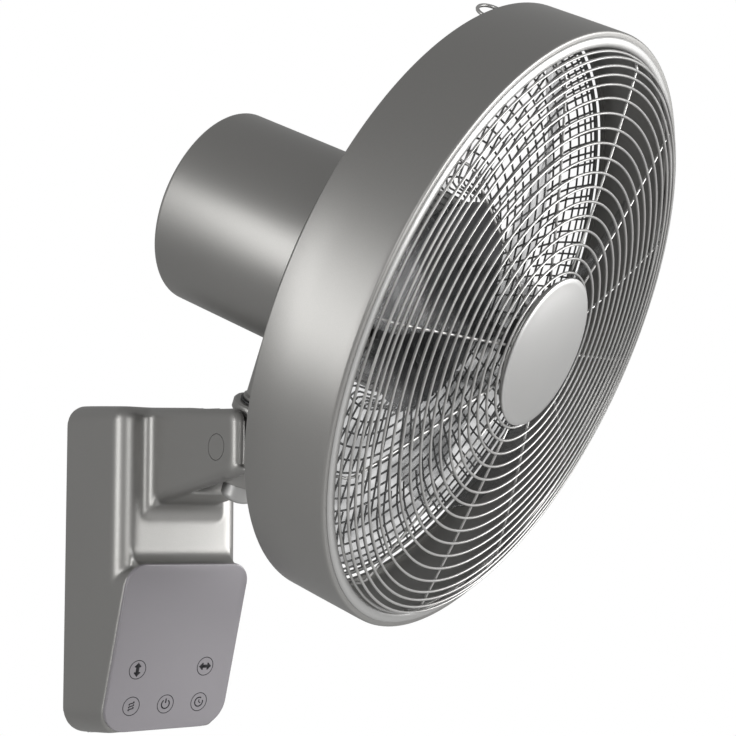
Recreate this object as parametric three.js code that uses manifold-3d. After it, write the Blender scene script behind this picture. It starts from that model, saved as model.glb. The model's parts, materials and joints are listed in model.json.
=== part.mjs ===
// Wall mounted fan: base with a touch panel, arm with a tilt pivot, swinging head with
// a deep motor can, a wide band, wire guards and a five-bladed wheel.
// Millimetres, +Z up. The wall is the plane y = 0, the fan looks towards -Y, and the
// origin is on the wall in the middle of the base.
import * as THREE from 'three';
import { mergeVertices } from 'three/addons/utils/BufferGeometryUtils.js';
import Module from 'manifold-3d';

const wasm = await Module();
wasm.setup();

const DEG = Math.PI / 180;
const GAP = 0.3; // clearance between two pieces that touch on the real fan

// ---- Driving dimensions: base ----
const BASE_HALF_WIDTH = 53.5;
const BASE_TOP = 122; // at the wall
const BASE_BOTTOM = -121; // at the wall
const BASE_DEPTH = 76.5; // wall to the upright front face
const TAPER_ANGLE = 3.4; // degrees, top and bottom run together towards the front
const BASE_TAPER = Math.tan(TAPER_ANGLE * DEG);
const BASE_WALL = 3;
const TOP_CORNER_RADIUS = 16;
const BOTTOM_CORNER_RADIUS = 20;
const FRONT_CORNER_RADIUS = 14.5; // upright edges beside the front face
const TOP_EDGE_RADIUS = 10.5;
const LEDGE_Z = 2.8; // ledge above the panel
const LEDGE_FILLET = 6.5;

// ---- Driving dimensions: touch panel ----
const PANEL_LEAN = 16.4; // degrees, the face looks slightly down
const PANEL_TOP_Y = -88.7;
const PANEL_TOP_Z = 3.5;
const PANEL_LENGTH = 126.6;
const PANEL_THICKNESS = 2.5;
const PANEL_TOP_CORNER = 15;
const PANEL_BOTTOM_CORNER = 20;

// ---- Driving dimensions: arm and tilt axis ----
const TILT_Y = -159;
const TILT_Z = 85;
const ARM_HALF_WIDTH = 31;
const CHEEK_INNER = 23.5; // half the space between the cheeks
const ARM_NOSE_Y = -183.5;
const ARM_NOSE_CORNER = 11;
const ARM_EDGE_RADIUS = 8; // long edges of the arm
const ARM_ROOT_FILLET = 8;
const ARM_UNDER_FILLET = 12;
const ARM_UNDER_ANGLE = 10.4; // degrees, the underside drops towards the base
const ARM_UNDER_Z = 31.37; // underside of the arm, continued to the wall
const ARM_LIP_Y = -192; // small lip under the nose
const ARM_ROOT_Y = -60; // where the arm ends inside the base
const SLOT_BACK_Y = -120;
const PIVOT_RADIUS = 5;
const PIVOT_CAP_RADIUS = 9;
const PIVOT_CAP_THICKNESS = 2;

// ---- Driving dimensions: head, in its own frame with the pan axis as Z ----
const TILT_DOWN = 26.8; // degrees below level, as photographed
const PAN_SIDE = 19.6; // degrees to the +X side, as photographed
const AXIS_HEIGHT = 150; // head axis above the tilt axis
const RIM_Y = -165; // plane of the band's front rim
const BAND_REAR_Y = -107;
const BAND_RADIUS = 204.5;
const RIM_RADIUS = 200;
const BAND_THICKNESS = 2.5;
const CAN_RADIUS = 69.5;
const CAN_FRONT_Y = -98;
const CAN_REAR_Y = 84;
const CAN_WALL = 2.5;
const RING_SIDES = 24; // facets round each guard ring
const ROUND = 32; // facets round the large turned parts
const GRILLE_FIRST_RING = 53.3;
const GRILLE_PITCH = 18.67; // ring to ring: every second ring of the real guard
const GRILLE_WIRES = 12;
const GRILLE_ROLL = 7.5; // degrees, first radial wire from the top
const BLADES = 5;
const BLADE_TIP_RADIUS = 180;
const SPIN_HUB_RADIUS = 40;

// ---- Looks ----
function paint(color, roughness, metalness) {
  return new THREE.MeshStandardMaterial({ color, roughness, metalness });
}
const GREY_PAINT = [0x85827d, 0.4, 0.3];
const LIGHT_PAINT = [0xc4c2bd, 0.35, 0.35];
const PANEL_GREY = [0x8f8b90, 0.35, 0.1];
const STEEL = [0xb4b4b2, 0.35, 0.9];
const DARK_PLASTIC = [0x2b2b2c, 0.6, 0];
const BLADE_GREY = [0x9a9c9c, 0.15, 0];
const BOARD_GREEN = [0x2f5a3c, 0.5, 0.1];
const COPPER = [0xa86a3c, 0.4, 0.7];
const RUBBER = [0x1f1f1f, 0.85, 0];

// ---- Shape helpers ----
function solid(geometry) {
  const bare = geometry.index ? geometry.toNonIndexed() : geometry.clone();
  bare.deleteAttribute('normal');
  bare.deleteAttribute('uv');
  const merged = mergeVertices(bare, 1e-3);
  const index = merged.index.array;
  const kept = [];
  for (let i = 0; i < index.length; i += 3) {
    const [a, b, c] = [index[i], index[i + 1], index[i + 2]];
    if (a !== b && b !== c && a !== c) kept.push(a, b, c);
  }
  const mesh = new wasm.Mesh({
    numProp: 3,
    vertProperties: new Float32Array(merged.attributes.position.array),
    triVerts: new Uint32Array(kept),
  });
  return new wasm.Manifold(mesh);
}

function geometryOf(body) {
  const mesh = body.getMesh();
  const geometry = new THREE.BufferGeometry();
  geometry.setAttribute('position', new THREE.BufferAttribute(mesh.vertProperties, 3));
  geometry.setIndex(new THREE.BufferAttribute(mesh.triVerts, 1));
  geometry.computeVertexNormals();
  return geometry;
}

function box(x0, x1, y0, y1, z0, z1) {
  const geometry = new THREE.BoxGeometry(x1 - x0, y1 - y0, z1 - z0);
  geometry.translate((x0 + x1) / 2, (y0 + y1) / 2, (z0 + z1) / 2);
  return solid(geometry);
}

// Directions that carry a drawn outline (u, v) and its depth into the frame.
const ALONG_X = [new THREE.Vector3(0, 1, 0), new THREE.Vector3(0, 0, 1), new THREE.Vector3(1, 0, 0)];
const ALONG_Y = [new THREE.Vector3(1, 0, 0), new THREE.Vector3(0, 0, 1), new THREE.Vector3(0, -1, 0)];
const ALONG_Z = [new THREE.Vector3(1, 0, 0), new THREE.Vector3(0, 1, 0), new THREE.Vector3(0, 0, 1)];

// Outline pushed `length` along one direction, starting `from` millimetres along it.
function prism(shape, along, from, length, curveSegments = 5) {
  const geometry = new THREE.ExtrudeGeometry(shape, { depth: length, bevelEnabled: false, curveSegments });
  geometry.translate(0, 0, from);
  geometry.applyMatrix4(new THREE.Matrix4().makeBasis(...along));
  return solid(geometry);
}

function roundedOutline(halfWidth, low, high, lowRadius, highRadius) {
  const shape = new THREE.Shape();
  shape.moveTo(-halfWidth + lowRadius, low);
  shape.lineTo(halfWidth - lowRadius, low);
  shape.absarc(halfWidth - lowRadius, low + lowRadius, lowRadius, -Math.PI / 2, 0);
  shape.lineTo(halfWidth, high - highRadius);
  shape.absarc(halfWidth - highRadius, high - highRadius, highRadius, 0, Math.PI / 2);
  shape.lineTo(-halfWidth + highRadius, high);
  shape.absarc(-halfWidth + highRadius, high - highRadius, highRadius, Math.PI / 2, Math.PI);
  shape.lineTo(-halfWidth, low + lowRadius);
  shape.absarc(-halfWidth + lowRadius, low + lowRadius, lowRadius, Math.PI, 1.5 * Math.PI);
  return shape;
}

function polygon(points) {
  return new THREE.Shape(points.map(([u, v]) => new THREE.Vector2(u, v)));
}

function cylinder(axis, radius, from, to, u = 0, v = 0, sides = 16) {
  const geometry = new THREE.CylinderGeometry(radius, radius, to - from, sides);
  geometry.translate(0, (from + to) / 2, 0);
  if (axis === 'x') geometry.rotateZ(-Math.PI / 2).translate(0, u, v);
  if (axis === 'y') geometry.translate(u, 0, v);
  if (axis === 'z') geometry.rotateX(Math.PI / 2).translate(u, v, 0);
  return solid(geometry);
}

function tube(axis, outer, inner, from, to) {
  return cylinder(axis, outer, from, to).subtract(cylinder(axis, inner, from - 1, to + 1));
}

// Turned part: profile of [radius, along] pairs about the Y axis.
function turned(profile, sides = ROUND) {
  const points = profile.map(([r, y]) => new THREE.Vector2(r, y));
  const onAxis = profile[0][0] === 0 && profile[profile.length - 1][0] === 0;
  if (!onAxis) points.push(points[0].clone());
  let doubleArea = 0;
  for (let i = 0; i < points.length; i += 1) {
    const p = points[i];
    const q = points[(i + 1) % points.length];
    doubleArea += p.x * q.y - q.x * p.y;
  }
  if (doubleArea < 0) points.reverse();
  return solid(new THREE.LatheGeometry(points, sides));
}

function turnedAboutZ(profile, sides) {
  return turned(profile, sides).rotate([90, 0, 0]);
}

const fan = new THREE.Group();
const tiltGroup = new THREE.Group();
const panGroup = new THREE.Group();
const headGroup = new THREE.Group();
const panelGroup = new THREE.Group();
tiltGroup.position.set(0, TILT_Y, TILT_Z);
tiltGroup.rotation.x = TILT_DOWN * DEG;
panGroup.rotation.z = PAN_SIDE * DEG;
headGroup.position.z = AXIS_HEIGHT;
panelGroup.position.set(0, PANEL_TOP_Y, PANEL_TOP_Z);
panelGroup.rotation.x = PANEL_LEAN * DEG;
panGroup.add(headGroup);
tiltGroup.add(panGroup);
fan.add(tiltGroup, panelGroup);

function place(group, name, body, look) {
  const mesh = new THREE.Mesh(geometryOf(body), paint(...look));
  mesh.name = name;
  group.add(mesh);
}

// ---- Base housing: shell and arm in one moulding ----
const lean = [Math.sin(PANEL_LEAN * DEG), -Math.cos(PANEL_LEAN * DEG)]; // down the panel, in (y, z)
const inward = [-lean[1], lean[0]]; // square to the panel, towards the wall

// Point on a plane that lies `depth` behind the panel's face, at height z.
function behindPanel(depth, z) {
  const y = PANEL_TOP_Y + depth * inward[0];
  const top = PANEL_TOP_Z + depth * inward[1];
  return [y + ((z - top) / lean[1]) * lean[0], z];
}

function topAt(y, drop = 0) {
  return BASE_TOP - drop + y * BASE_TAPER;
}

function bottomAt(y, rise = 0) {
  return BASE_BOTTOM + rise - y * BASE_TAPER;
}

// Where a plane `depth` behind the panel's face meets the sloping bottom.
function footOf(depth, rise = 0) {
  const slope = lean[0] / lean[1];
  const low = behindPanel(depth, 0)[0] + (BASE_BOTTOM + rise) * slope;
  const y = low / (1 + BASE_TAPER * slope);
  return [y, bottomAt(y, rise)];
}

const TOP_EDGE_Y = -BASE_DEPTH + TOP_EDGE_RADIUS;
const LEDGE_TOP = LEDGE_Z + LEDGE_FILLET;

function baseProfile() {
  const depth = PANEL_THICKNESS + GAP;
  const centreZ = topAt(TOP_EDGE_Y) - TOP_EDGE_RADIUS;
  const shape = new THREE.Shape();
  shape.moveTo(0, BASE_BOTTOM);
  shape.lineTo(...footOf(depth));
  shape.lineTo(...behindPanel(depth, LEDGE_Z));
  shape.lineTo(-BASE_DEPTH - LEDGE_FILLET, LEDGE_Z);
  shape.absarc(-BASE_DEPTH - LEDGE_FILLET, LEDGE_TOP, LEDGE_FILLET, -Math.PI / 2, 0);
  shape.lineTo(-BASE_DEPTH, centreZ);
  shape.absarc(TOP_EDGE_Y, centreZ, TOP_EDGE_RADIUS, Math.PI, Math.PI / 2, true);
  shape.lineTo(0, BASE_TOP);
  return shape;
}

// Plan outline with both upright front corners rounded.
function frontCorners(halfWidth, depth, radius) {
  const shape = new THREE.Shape();
  shape.moveTo(halfWidth, 1);
  shape.lineTo(-halfWidth, 1);
  shape.lineTo(-halfWidth, -depth + radius);
  shape.absarc(-halfWidth + radius, -depth + radius, radius, Math.PI, 1.5 * Math.PI);
  shape.lineTo(halfWidth - radius, -depth);
  shape.absarc(halfWidth - radius, -depth + radius, radius, 1.5 * Math.PI, 2 * Math.PI);
  return shape;
}

// Block in front of the wall, larger than the base, between two heights.
function blockBetween(low, high) {
  return box(-60, 60, -100, 1, low, high);
}

// Body with the base's outline, side view and plan, `inset` inside the outer skin.
function baseForm(inset, profile, upperFrom) {
  const outline = roundedOutline(BASE_HALF_WIDTH - inset, BASE_BOTTOM + inset, BASE_TOP - inset,
    BOTTOM_CORNER_RADIUS - inset, TOP_CORNER_RADIUS - inset);
  const plan = frontCorners(BASE_HALF_WIDTH - inset, BASE_DEPTH - inset,
    FRONT_CORNER_RADIUS - inset);
  const upper = prism(plan, ALONG_Z, upperFrom, BASE_TOP + 10 - upperFrom);
  const lower = blockBetween(BASE_BOTTOM - 10, upperFrom);
  return prism(outline, ALONG_Y, -1, 101)
    .intersect(prism(profile, ALONG_X, -60, 120))
    .intersect(upper.add(lower));
}

function baseShell() {
  const w = BASE_WALL;
  const depth = PANEL_THICKNESS + GAP + w;
  const inner = polygon([[1, BASE_BOTTOM + w], footOf(depth, w), behindPanel(depth, LEDGE_Z - w),
    [-BASE_DEPTH + w, LEDGE_Z - w], [-BASE_DEPTH + w, topAt(TOP_EDGE_Y, TOP_EDGE_RADIUS)],
    [TOP_EDGE_Y, topAt(TOP_EDGE_Y, w)], [1, BASE_TOP - w]]);
  return baseForm(0, baseProfile(), LEDGE_TOP).subtract(baseForm(w, inner, LEDGE_Z - w));
}

function undersideAt(y) {
  return ARM_UNDER_Z - y * Math.tan(ARM_UNDER_ANGLE * DEG);
}

// Side view of the arm: sloping top, blunt nose with a small lip under it, and a
// hollow curve where the underside meets the base.
function armProfile() {
  const root = ARM_ROOT_Y;
  const filletY = -BASE_DEPTH - ARM_UNDER_FILLET;
  const filletZ = undersideAt(filletY) - ARM_UNDER_FILLET;
  const cornerY = ARM_NOSE_Y + ARM_NOSE_CORNER;
  const lowZ = undersideAt(cornerY) + ARM_NOSE_CORNER + 1.5;
  const highZ = topAt(cornerY) - ARM_NOSE_CORNER;
  const shape = new THREE.Shape();
  shape.moveTo(root, topAt(root));
  shape.lineTo(root, filletZ);
  shape.lineTo(-BASE_DEPTH, filletZ);
  shape.absarc(filletY, filletZ, ARM_UNDER_FILLET, 0, Math.PI / 2);
  shape.lineTo(ARM_LIP_Y, undersideAt(ARM_LIP_Y));
  shape.lineTo(ARM_LIP_Y + 2, undersideAt(ARM_LIP_Y + 2) + 2.5);
  shape.absarc(cornerY, lowZ, ARM_NOSE_CORNER, 215 * DEG, Math.PI, true);
  shape.absarc(cornerY, highZ, ARM_NOSE_CORNER, Math.PI, (90 + TAPER_ANGLE) * DEG, true);
  return shape;
}

// Plan of the arm with the hollow curves at its root.
function armPlan() {
  const shape = new THREE.Shape();
  const flare = ARM_HALF_WIDTH + ARM_ROOT_FILLET;
  const centreY = -BASE_DEPTH - ARM_ROOT_FILLET;
  shape.moveTo(-flare, ARM_ROOT_Y);
  shape.lineTo(-flare, -BASE_DEPTH);
  shape.absarc(-flare, centreY, ARM_ROOT_FILLET, Math.PI / 2, 0, true);
  shape.lineTo(-ARM_HALF_WIDTH, ARM_LIP_Y - 8);
  shape.lineTo(ARM_HALF_WIDTH, ARM_LIP_Y - 8);
  shape.lineTo(ARM_HALF_WIDTH, centreY);
  shape.absarc(flare, centreY, ARM_ROOT_FILLET, Math.PI, Math.PI / 2, true);
  shape.lineTo(flare, ARM_ROOT_Y);
  return shape;
}

const SCREW_BOSSES = [[-46, -95], [46, -95], [-46, 97], [46, 97]];
const BOSS_RADIUS = 5.2;
const PILOT_RADIUS = 1.8;
const LOCK_SCREW_X = 34;
const LOCK_SCREW_Y = -10;
const LOCK_HEAD_RADIUS = 3.4; // the lock screws' heads are sunk in the bottom
const BUSH_Y = -26;
const BUSH_NECK_RADIUS = 6;
const CABLE_HOLE_RADIUS = 7;
const ROOT_HOLLOW = [[-70, 54], [-116.5, 59], [-116.5, 112], [-70, 114.4]];
const ROOT_HOLLOW_HALF_WIDTH = 27.5;
// window behind the panel for the sensor board: depth behind the face, height
const BOARD_WINDOW = [[2, -12], [2, -106], [9, -106], [9, -12]];
const BOARD_WINDOW_HALF_WIDTH = 40;

// Long bar of the arm's width, turned to follow its top or its underside.
function edgeBar(low, high, lowRadius, highRadius, angle, z) {
  return prism(roundedOutline(ARM_HALF_WIDTH, low, high, lowRadius, highRadius), ALONG_Y, 0, 240)
    .rotate([angle, 0, 0]).translate([0, 0, z]);
}

// The long edges are rounded up to where the arm flares out to the base.
function arm() {
  const side = prism(armProfile(), ALONG_X, -60, 120, 6);
  const topBar = edgeBar(-120, 0, 1, ARM_EDGE_RADIUS, TAPER_ANGLE, BASE_TOP);
  const underBar = edgeBar(0, 120, ARM_EDGE_RADIUS, 1, -ARM_UNDER_ANGLE, ARM_UNDER_Z);
  const flare = box(-60, 60, -BASE_DEPTH - ARM_ROOT_FILLET, 0, 0, 140);
  return side.intersect(prism(armPlan(), ALONG_Z, 20, 120))
    .intersect(topBar.intersect(underBar).add(flare));
}

// The arm's root is hollow and open to the base; a wall with a cable hole closes it.
function housing() {
  let body = baseShell();
  for (const [x, z] of SCREW_BOSSES) {
    body = body.add(cylinder('y', BOSS_RADIUS, -22, -6, x, z, 12));
  }
  const hollowLength = 2 * ROOT_HOLLOW_HALF_WIDTH;
  body = body.add(arm())
    .subtract(prism(polygon(ROOT_HOLLOW), ALONG_X, -ROOT_HOLLOW_HALF_WIDTH, hollowLength))
    .subtract(cylinder('y', CABLE_HOLE_RADIUS, SLOT_BACK_Y - 1, -115, 0, TILT_Z, 16))
    .subtract(box(-CHEEK_INNER, CHEEK_INNER, ARM_LIP_Y - 9, SLOT_BACK_Y, 20, 130))
    .subtract(cylinder('x', PIVOT_RADIUS + GAP, -40, 40, TILT_Y, TILT_Z));
  const recess = ARM_HALF_WIDTH - PIVOT_CAP_THICKNESS - GAP;
  for (const side of [-1, 1]) {
    const ends = [side * recess, side * 40].sort((a, b) => a - b);
    const lockX = side * LOCK_SCREW_X;
    body = body.subtract(cylinder('x', PIVOT_CAP_RADIUS + GAP, ...ends, TILT_Y, TILT_Z))
      .subtract(cylinder('z', PILOT_RADIUS, -125, -110, lockX, LOCK_SCREW_Y, 10))
      .subtract(cylinder('z', LOCK_HEAD_RADIUS, -125, BASE_BOTTOM + 2.2, lockX, LOCK_SCREW_Y, 10));
  }
  for (const [x, z] of SCREW_BOSSES) {
    body = body.subtract(cylinder('y', PILOT_RADIUS, -20, 0, x, z, 10));
  }
  const board = polygon(BOARD_WINDOW.map(([depth, z]) => behindPanel(depth, z)));
  const boardLength = 2 * BOARD_WINDOW_HALF_WIDTH;
  return body.subtract(cylinder('z', BUSH_NECK_RADIUS + GAP, -125, -110, 0, BUSH_Y, 16))
    .subtract(prism(board, ALONG_X, -BOARD_WINDOW_HALF_WIDTH, boardLength));
}

place(fan, 'base_housing', housing(), GREY_PAINT);

// ---- Wall plate, back cover and their screws ----
const PLATE_HALF_WIDTH = 40;
const PLATE_THICKNESS = 1.6;
const PLATE_BOTTOM = -100;
const PLATE_TOP = 95;
const PLATE_FLANGE = 15; // depth of the flange for the lock screws
const WALL_SCREW_X = 28;
const WALL_SCREW_Z = 78;
const WALL_SCREW_RADIUS = 2.75;
const COVER_GAP = 0.4; // back cover to housing
const COVER_FACE_Y = -2.4;

function wallPlate() {
  const half = PLATE_HALF_WIDTH;
  const flangeTop = PLATE_BOTTOM + PLATE_THICKNESS;
  let plate = box(-half, half, -PLATE_THICKNESS, 0, PLATE_BOTTOM, PLATE_TOP)
    .add(box(-half, half, -PLATE_FLANGE, 0, PLATE_BOTTOM, flangeTop));
  for (const side of [-1, 1]) {
    for (const z of [-WALL_SCREW_Z, WALL_SCREW_Z]) {
      const hole = cylinder('y', WALL_SCREW_RADIUS, -3, 1, side * WALL_SCREW_X, z, 12);
      plate = plate.subtract(hole);
    }
    const lockX = side * LOCK_SCREW_X;
    plate = plate.subtract(
      cylinder('z', PILOT_RADIUS, PLATE_BOTTOM - 2, flangeTop + 1, lockX, LOCK_SCREW_Y, 10));
  }
  return plate;
}

function backCover() {
  const inset = BASE_WALL + COVER_GAP;
  const outline = roundedOutline(BASE_HALF_WIDTH - inset, BASE_BOTTOM + inset, BASE_TOP - inset,
    BOTTOM_CORNER_RADIUS - inset, TOP_CORNER_RADIUS - inset);
  const slot = PLATE_HALF_WIDTH + COVER_GAP;
  let cover = prism(outline, ALONG_Y, -COVER_FACE_Y, 3)
    .subtract(box(-slot, slot, -6, -1, PLATE_BOTTOM - 5, PLATE_BOTTOM + 2.5));
  for (const [x, z] of SCREW_BOSSES) {
    cover = cover.subtract(cylinder('y', PILOT_RADIUS, -7, 0, x, z, 10));
  }
  return cover;
}

function screw(headRadius, headHeight, shankRadius, length) {
  return turned([[0, -length], [shankRadius, -length], [shankRadius, -headHeight],
    [headRadius, -headHeight], [headRadius, 0], [0, 0]], 10);
}

place(fan, 'wall_plate', wallPlate(), STEEL);
place(fan, 'back_cover', backCover(), DARK_PLASTIC);
SCREW_BOSSES.forEach(([x, z], i) => {
  const body = screw(3, 1.7, 1.4, 17).translate([x, -0.4, z]);
  place(fan, `cover_screw_${i + 1}`, body, STEEL);
});
for (const side of [-1, 1]) {
  const body = screw(3, 1.6, 1.4, 26).rotate([-90, 0, 0]);
  const name = side < 0 ? 'lock_screw_left' : 'lock_screw_right';
  place(fan, name, body.translate([side * LOCK_SCREW_X, LOCK_SCREW_Y, BASE_BOTTOM + 0.3]), STEEL);
}
// Grooved bush: one thin lip below the sloping bottom, one above it.
place(fan, 'cord_bush', turnedAboutZ([[3.5, -121], [8, -121], [8, -120.3], [6, -120.3],
  [6, -115.7], [8, -115.7], [8, -114.2], [3.5, -114.2]], 16).translate([0, BUSH_Y, 0]), RUBBER);

// ---- Touch panel and boards ----
const panelOutline = roundedOutline(
  BASE_HALF_WIDTH, -PANEL_LENGTH, 0, PANEL_BOTTOM_CORNER, PANEL_TOP_CORNER);
const panelPlate = prism(panelOutline, ALONG_Y, -PANEL_THICKNESS, PANEL_THICKNESS);
const sensorFace = PANEL_THICKNESS + 0.5;
const sensorBoard = box(-36, 36, sensorFace, sensorFace + 1.5, -108, -22);
place(panelGroup, 'control_panel', panelPlate, PANEL_GREY);
place(panelGroup, 'touch_board', sensorBoard, BOARD_GREEN);
place(fan, 'power_board', box(-36, 36, -13, -11.4, 20, 88), BOARD_GREEN);
place(fan, 'board_transformer', box(-14, 14, -36, -13.4, 34, 60), COPPER);

// ---- Tilt pivot ----
const CAP_INNER = ARM_HALF_WIDTH - PIVOT_CAP_THICKNESS;
const MOTOR_END = 13.2; // where the tilt motor's body ends and its shaft starts

function onTiltAxis(radius, from, to, sides = 16) {
  return cylinder('x', radius, from, to, TILT_Y, TILT_Z, sides);
}

const leftCap = onTiltAxis(PIVOT_CAP_RADIUS, -ARM_HALF_WIDTH, -CAP_INNER, 20);
const rightCap = onTiltAxis(PIVOT_CAP_RADIUS, CAP_INNER, ARM_HALF_WIDTH, 20);
place(fan, 'pivot_cap_left', leftCap, GREY_PAINT);
place(fan, 'pivot_cap_right', rightCap, GREY_PAINT);
place(fan, 'tilt_pin', onTiltAxis(PIVOT_RADIUS, -CAP_INNER + GAP, -16), STEEL);
place(fan, 'tilt_drive_shaft', onTiltAxis(PIVOT_RADIUS, MOTOR_END + GAP, CAP_INNER - GAP), STEEL);

// ---- Knuckle ----
const KNUCKLE_HALF_WIDTH = 21.5;
const KNUCKLE_BOTTOM = -24;
const BARREL_RADIUS = 20;
const SIDE_BOSS_RADIUS = 17.8;
const TILT_MOTOR_RADIUS = 15;
const FLANGE_RADIUS = 22.3;
const FLANGE_TOP = 34;
const FLANGE_BOTTOM = 26;
const KNUCKLE_CAP_RADIUS = 11.5;
const POST_RADIUS = 8;
const POST_BORE = 4.5;
const WASHER_RADIUS = 13;

function knuckle() {
  const barrel = turnedAboutZ([[0, KNUCKLE_BOTTOM], [BARREL_RADIUS, KNUCKLE_BOTTOM],
    [BARREL_RADIUS, FLANGE_BOTTOM], [FLANGE_RADIUS, FLANGE_BOTTOM], [FLANGE_RADIUS, FLANGE_TOP],
    [0, FLANGE_TOP]], 24);
  return barrel
    .add(cylinder('x', SIDE_BOSS_RADIUS, -KNUCKLE_HALF_WIDTH, KNUCKLE_HALF_WIDTH, 0, 0, 20))
    .subtract(cylinder('x', TILT_MOTOR_RADIUS + GAP, -40, MOTOR_END + GAP))
    .subtract(cylinder('x', PIVOT_RADIUS + GAP, 0, 40))
    .subtract(cylinder('z', POST_RADIUS + GAP, 20, 40))
    .subtract(cylinder('z', 4, 0, 40, 0, 0, 8))
    .subtract(cylinder('z', 6, -40, 0, 0, 0, 8));
}

const coverTop = KNUCKLE_BOTTOM - GAP;
const knuckleCap = turnedAboutZ([[0, coverTop], [KNUCKLE_CAP_RADIUS, coverTop],
  [KNUCKLE_CAP_RADIUS, -36], [9.5, -39.2], [6.5, -40.5], [0, -40.5]], 20);
const pinHole = PIVOT_RADIUS + GAP;
const sidePlate = tube('x', TILT_MOTOR_RADIUS, pinHole, -KNUCKLE_HALF_WIDTH, -17.5);
const washerInner = KNUCKLE_HALF_WIDTH + GAP;
const washerOuter = CHEEK_INNER - GAP;
const leftWasher = tube('x', WASHER_RADIUS, pinHole, -washerOuter, -washerInner);
const rightWasher = tube('x', WASHER_RADIUS, pinHole, washerInner, washerOuter);
place(tiltGroup, 'knuckle', knuckle(), GREY_PAINT);
place(tiltGroup, 'knuckle_side_plate', sidePlate, DARK_PLASTIC);
place(tiltGroup, 'knuckle_cap', knuckleCap, LIGHT_PAINT);
place(tiltGroup, 'tilt_motor', cylinder('x', TILT_MOTOR_RADIUS, -5, MOTOR_END), STEEL);
place(tiltGroup, 'tilt_washer_left', leftWasher, DARK_PLASTIC);
place(tiltGroup, 'tilt_washer_right', rightWasher, DARK_PLASTIC);
place(tiltGroup, 'pan_post', tube('z', POST_RADIUS, POST_BORE, 20.3, 108), STEEL);
place(tiltGroup, 'pan_washer', tube('z', 18, 8.4, 34.3, 35.3), DARK_PLASTIC);

// ---- Neck and pan drive ----
const NECK_RADIUS = 15;
const NECK_FOOT = 35.6;
const NECK_TOP = 91;
const NECK_BORE = 12.6;
const NECK_FLANGE_RADIUS = 22;
const BUSH_LENGTH = 12;

const neck = turnedAboutZ([[8.6, NECK_FOOT], [16.5, NECK_FOOT], [16.5, 38], [NECK_RADIUS, 39],
  [NECK_RADIUS, 87], [NECK_FLANGE_RADIUS, 87], [NECK_FLANGE_RADIUS, NECK_TOP],
  [NECK_BORE, NECK_TOP], [NECK_BORE, 38.5], [8.6, 38.5]], 20);
function panBush(from) {
  return tube('z', NECK_BORE - GAP, POST_RADIUS + GAP, from, from + BUSH_LENGTH);
}
const panMotor = tube('z', 20, POST_RADIUS + GAP, NECK_TOP + GAP, 109);
place(panGroup, 'neck', neck, GREY_PAINT);
place(panGroup, 'pan_bush_lower', panBush(39), DARK_PLASTIC);
place(panGroup, 'pan_bush_upper', panBush(68), DARK_PLASTIC);
place(panGroup, 'pan_motor', panMotor, STEEL);

// ---- Motor can and mount ----
const CAN_INNER = CAN_RADIUS - CAN_WALL;
const GUARD_Y = -107; // plane of the rear guard's centre plate

function motorHousing() {
  const edge = 3.5;
  const can = turned([[CAN_RADIUS, CAN_FRONT_Y], [CAN_RADIUS, CAN_REAR_Y - edge],
    [CAN_RADIUS - edge * 0.3, CAN_REAR_Y - edge * 0.3], [CAN_RADIUS - edge, CAN_REAR_Y],
    [0, CAN_REAR_Y], [0, CAN_REAR_Y - CAN_WALL], [CAN_INNER - 1.5, CAN_REAR_Y - CAN_WALL],
    [CAN_INNER, CAN_REAR_Y - CAN_WALL - 1.5], [CAN_INNER, CAN_FRONT_Y]].reverse());
  return can.subtract(cylinder('z', NECK_RADIUS + GAP, -AXIS_HEIGHT, -40, 0, 0, 20));
}

const motorMount = turned([[11.3, -109], [11.3, -98.9], [66, -98.9], [66, -104.9], [30, -104.9],
  [30, -113], [8, -113], [8, -109]], 24);
const frontBearing = turned([[4.3, -108.7], [11, -108.7], [11, -101], [4.3, -101]], 20);
const rearBearing = turned([[4.3, -58], [9, -58], [9, -52.3], [4.3, -52.3]], 20);
const stator = turned([[25, -96], [45, -96], [45, -62], [25, -62]], 24);
const rearShield = turned([[45.5, -98.5], [47.5, -98.5], [47.5, -50], [4.6, -50], [4.6, -52],
  [9.3, -52], [9.3, -58], [45.5, -58]], 24);
place(headGroup, 'motor_housing', motorHousing(), GREY_PAINT);
place(headGroup, 'motor_mount', motorMount, DARK_PLASTIC);
place(headGroup, 'front_bearing', frontBearing, STEEL);
place(headGroup, 'stator', stator, COPPER);
place(headGroup, 'rear_shield', rearShield, STEEL);
place(headGroup, 'rear_bearing', rearBearing, STEEL);
place(headGroup, 'motor_board', box(-30, 30, -44, -42.4, -25, 25), BOARD_GREEN);

// ---- Band and front bezel ----
const BAND_INNER = BAND_RADIUS - BAND_THICKNESS;
const BAND_LIP_INNER = 199; // turned-in lip at the rear edge
const BEZEL_INNER = 194;
const BEZEL_REAR_Y = RIM_Y + 5;

const band = turned([[BAND_RADIUS, BAND_REAR_Y], [BAND_RADIUS - 0.6, RIM_Y + 5],
  [BAND_RADIUS - 2, RIM_Y + 1.2], [RIM_RADIUS + 0.6, RIM_Y], [RIM_RADIUS + 0.6, RIM_Y + 3.4],
  [BAND_INNER - 0.6, RIM_Y + 4], [BAND_INNER, BAND_REAR_Y - 2.5],
  [BAND_LIP_INNER, BAND_REAR_Y - 2.5], [BAND_LIP_INNER, BAND_REAR_Y]]);
const bezel = turned([[RIM_RADIUS, RIM_Y - 0.4], [RIM_RADIUS + 0.2, BEZEL_REAR_Y],
  [RIM_RADIUS - 1.8, BEZEL_REAR_Y], [RIM_RADIUS - 1.8, RIM_Y + 0.8], [BEZEL_INNER, RIM_Y + 0.8],
  [BEZEL_INNER, RIM_Y - 0.4], [BEZEL_INNER + 1.2, RIM_Y - 1.4], [RIM_RADIUS - 1.4, RIM_Y - 1.4]]);
place(headGroup, 'band', band, GREY_PAINT);
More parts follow.
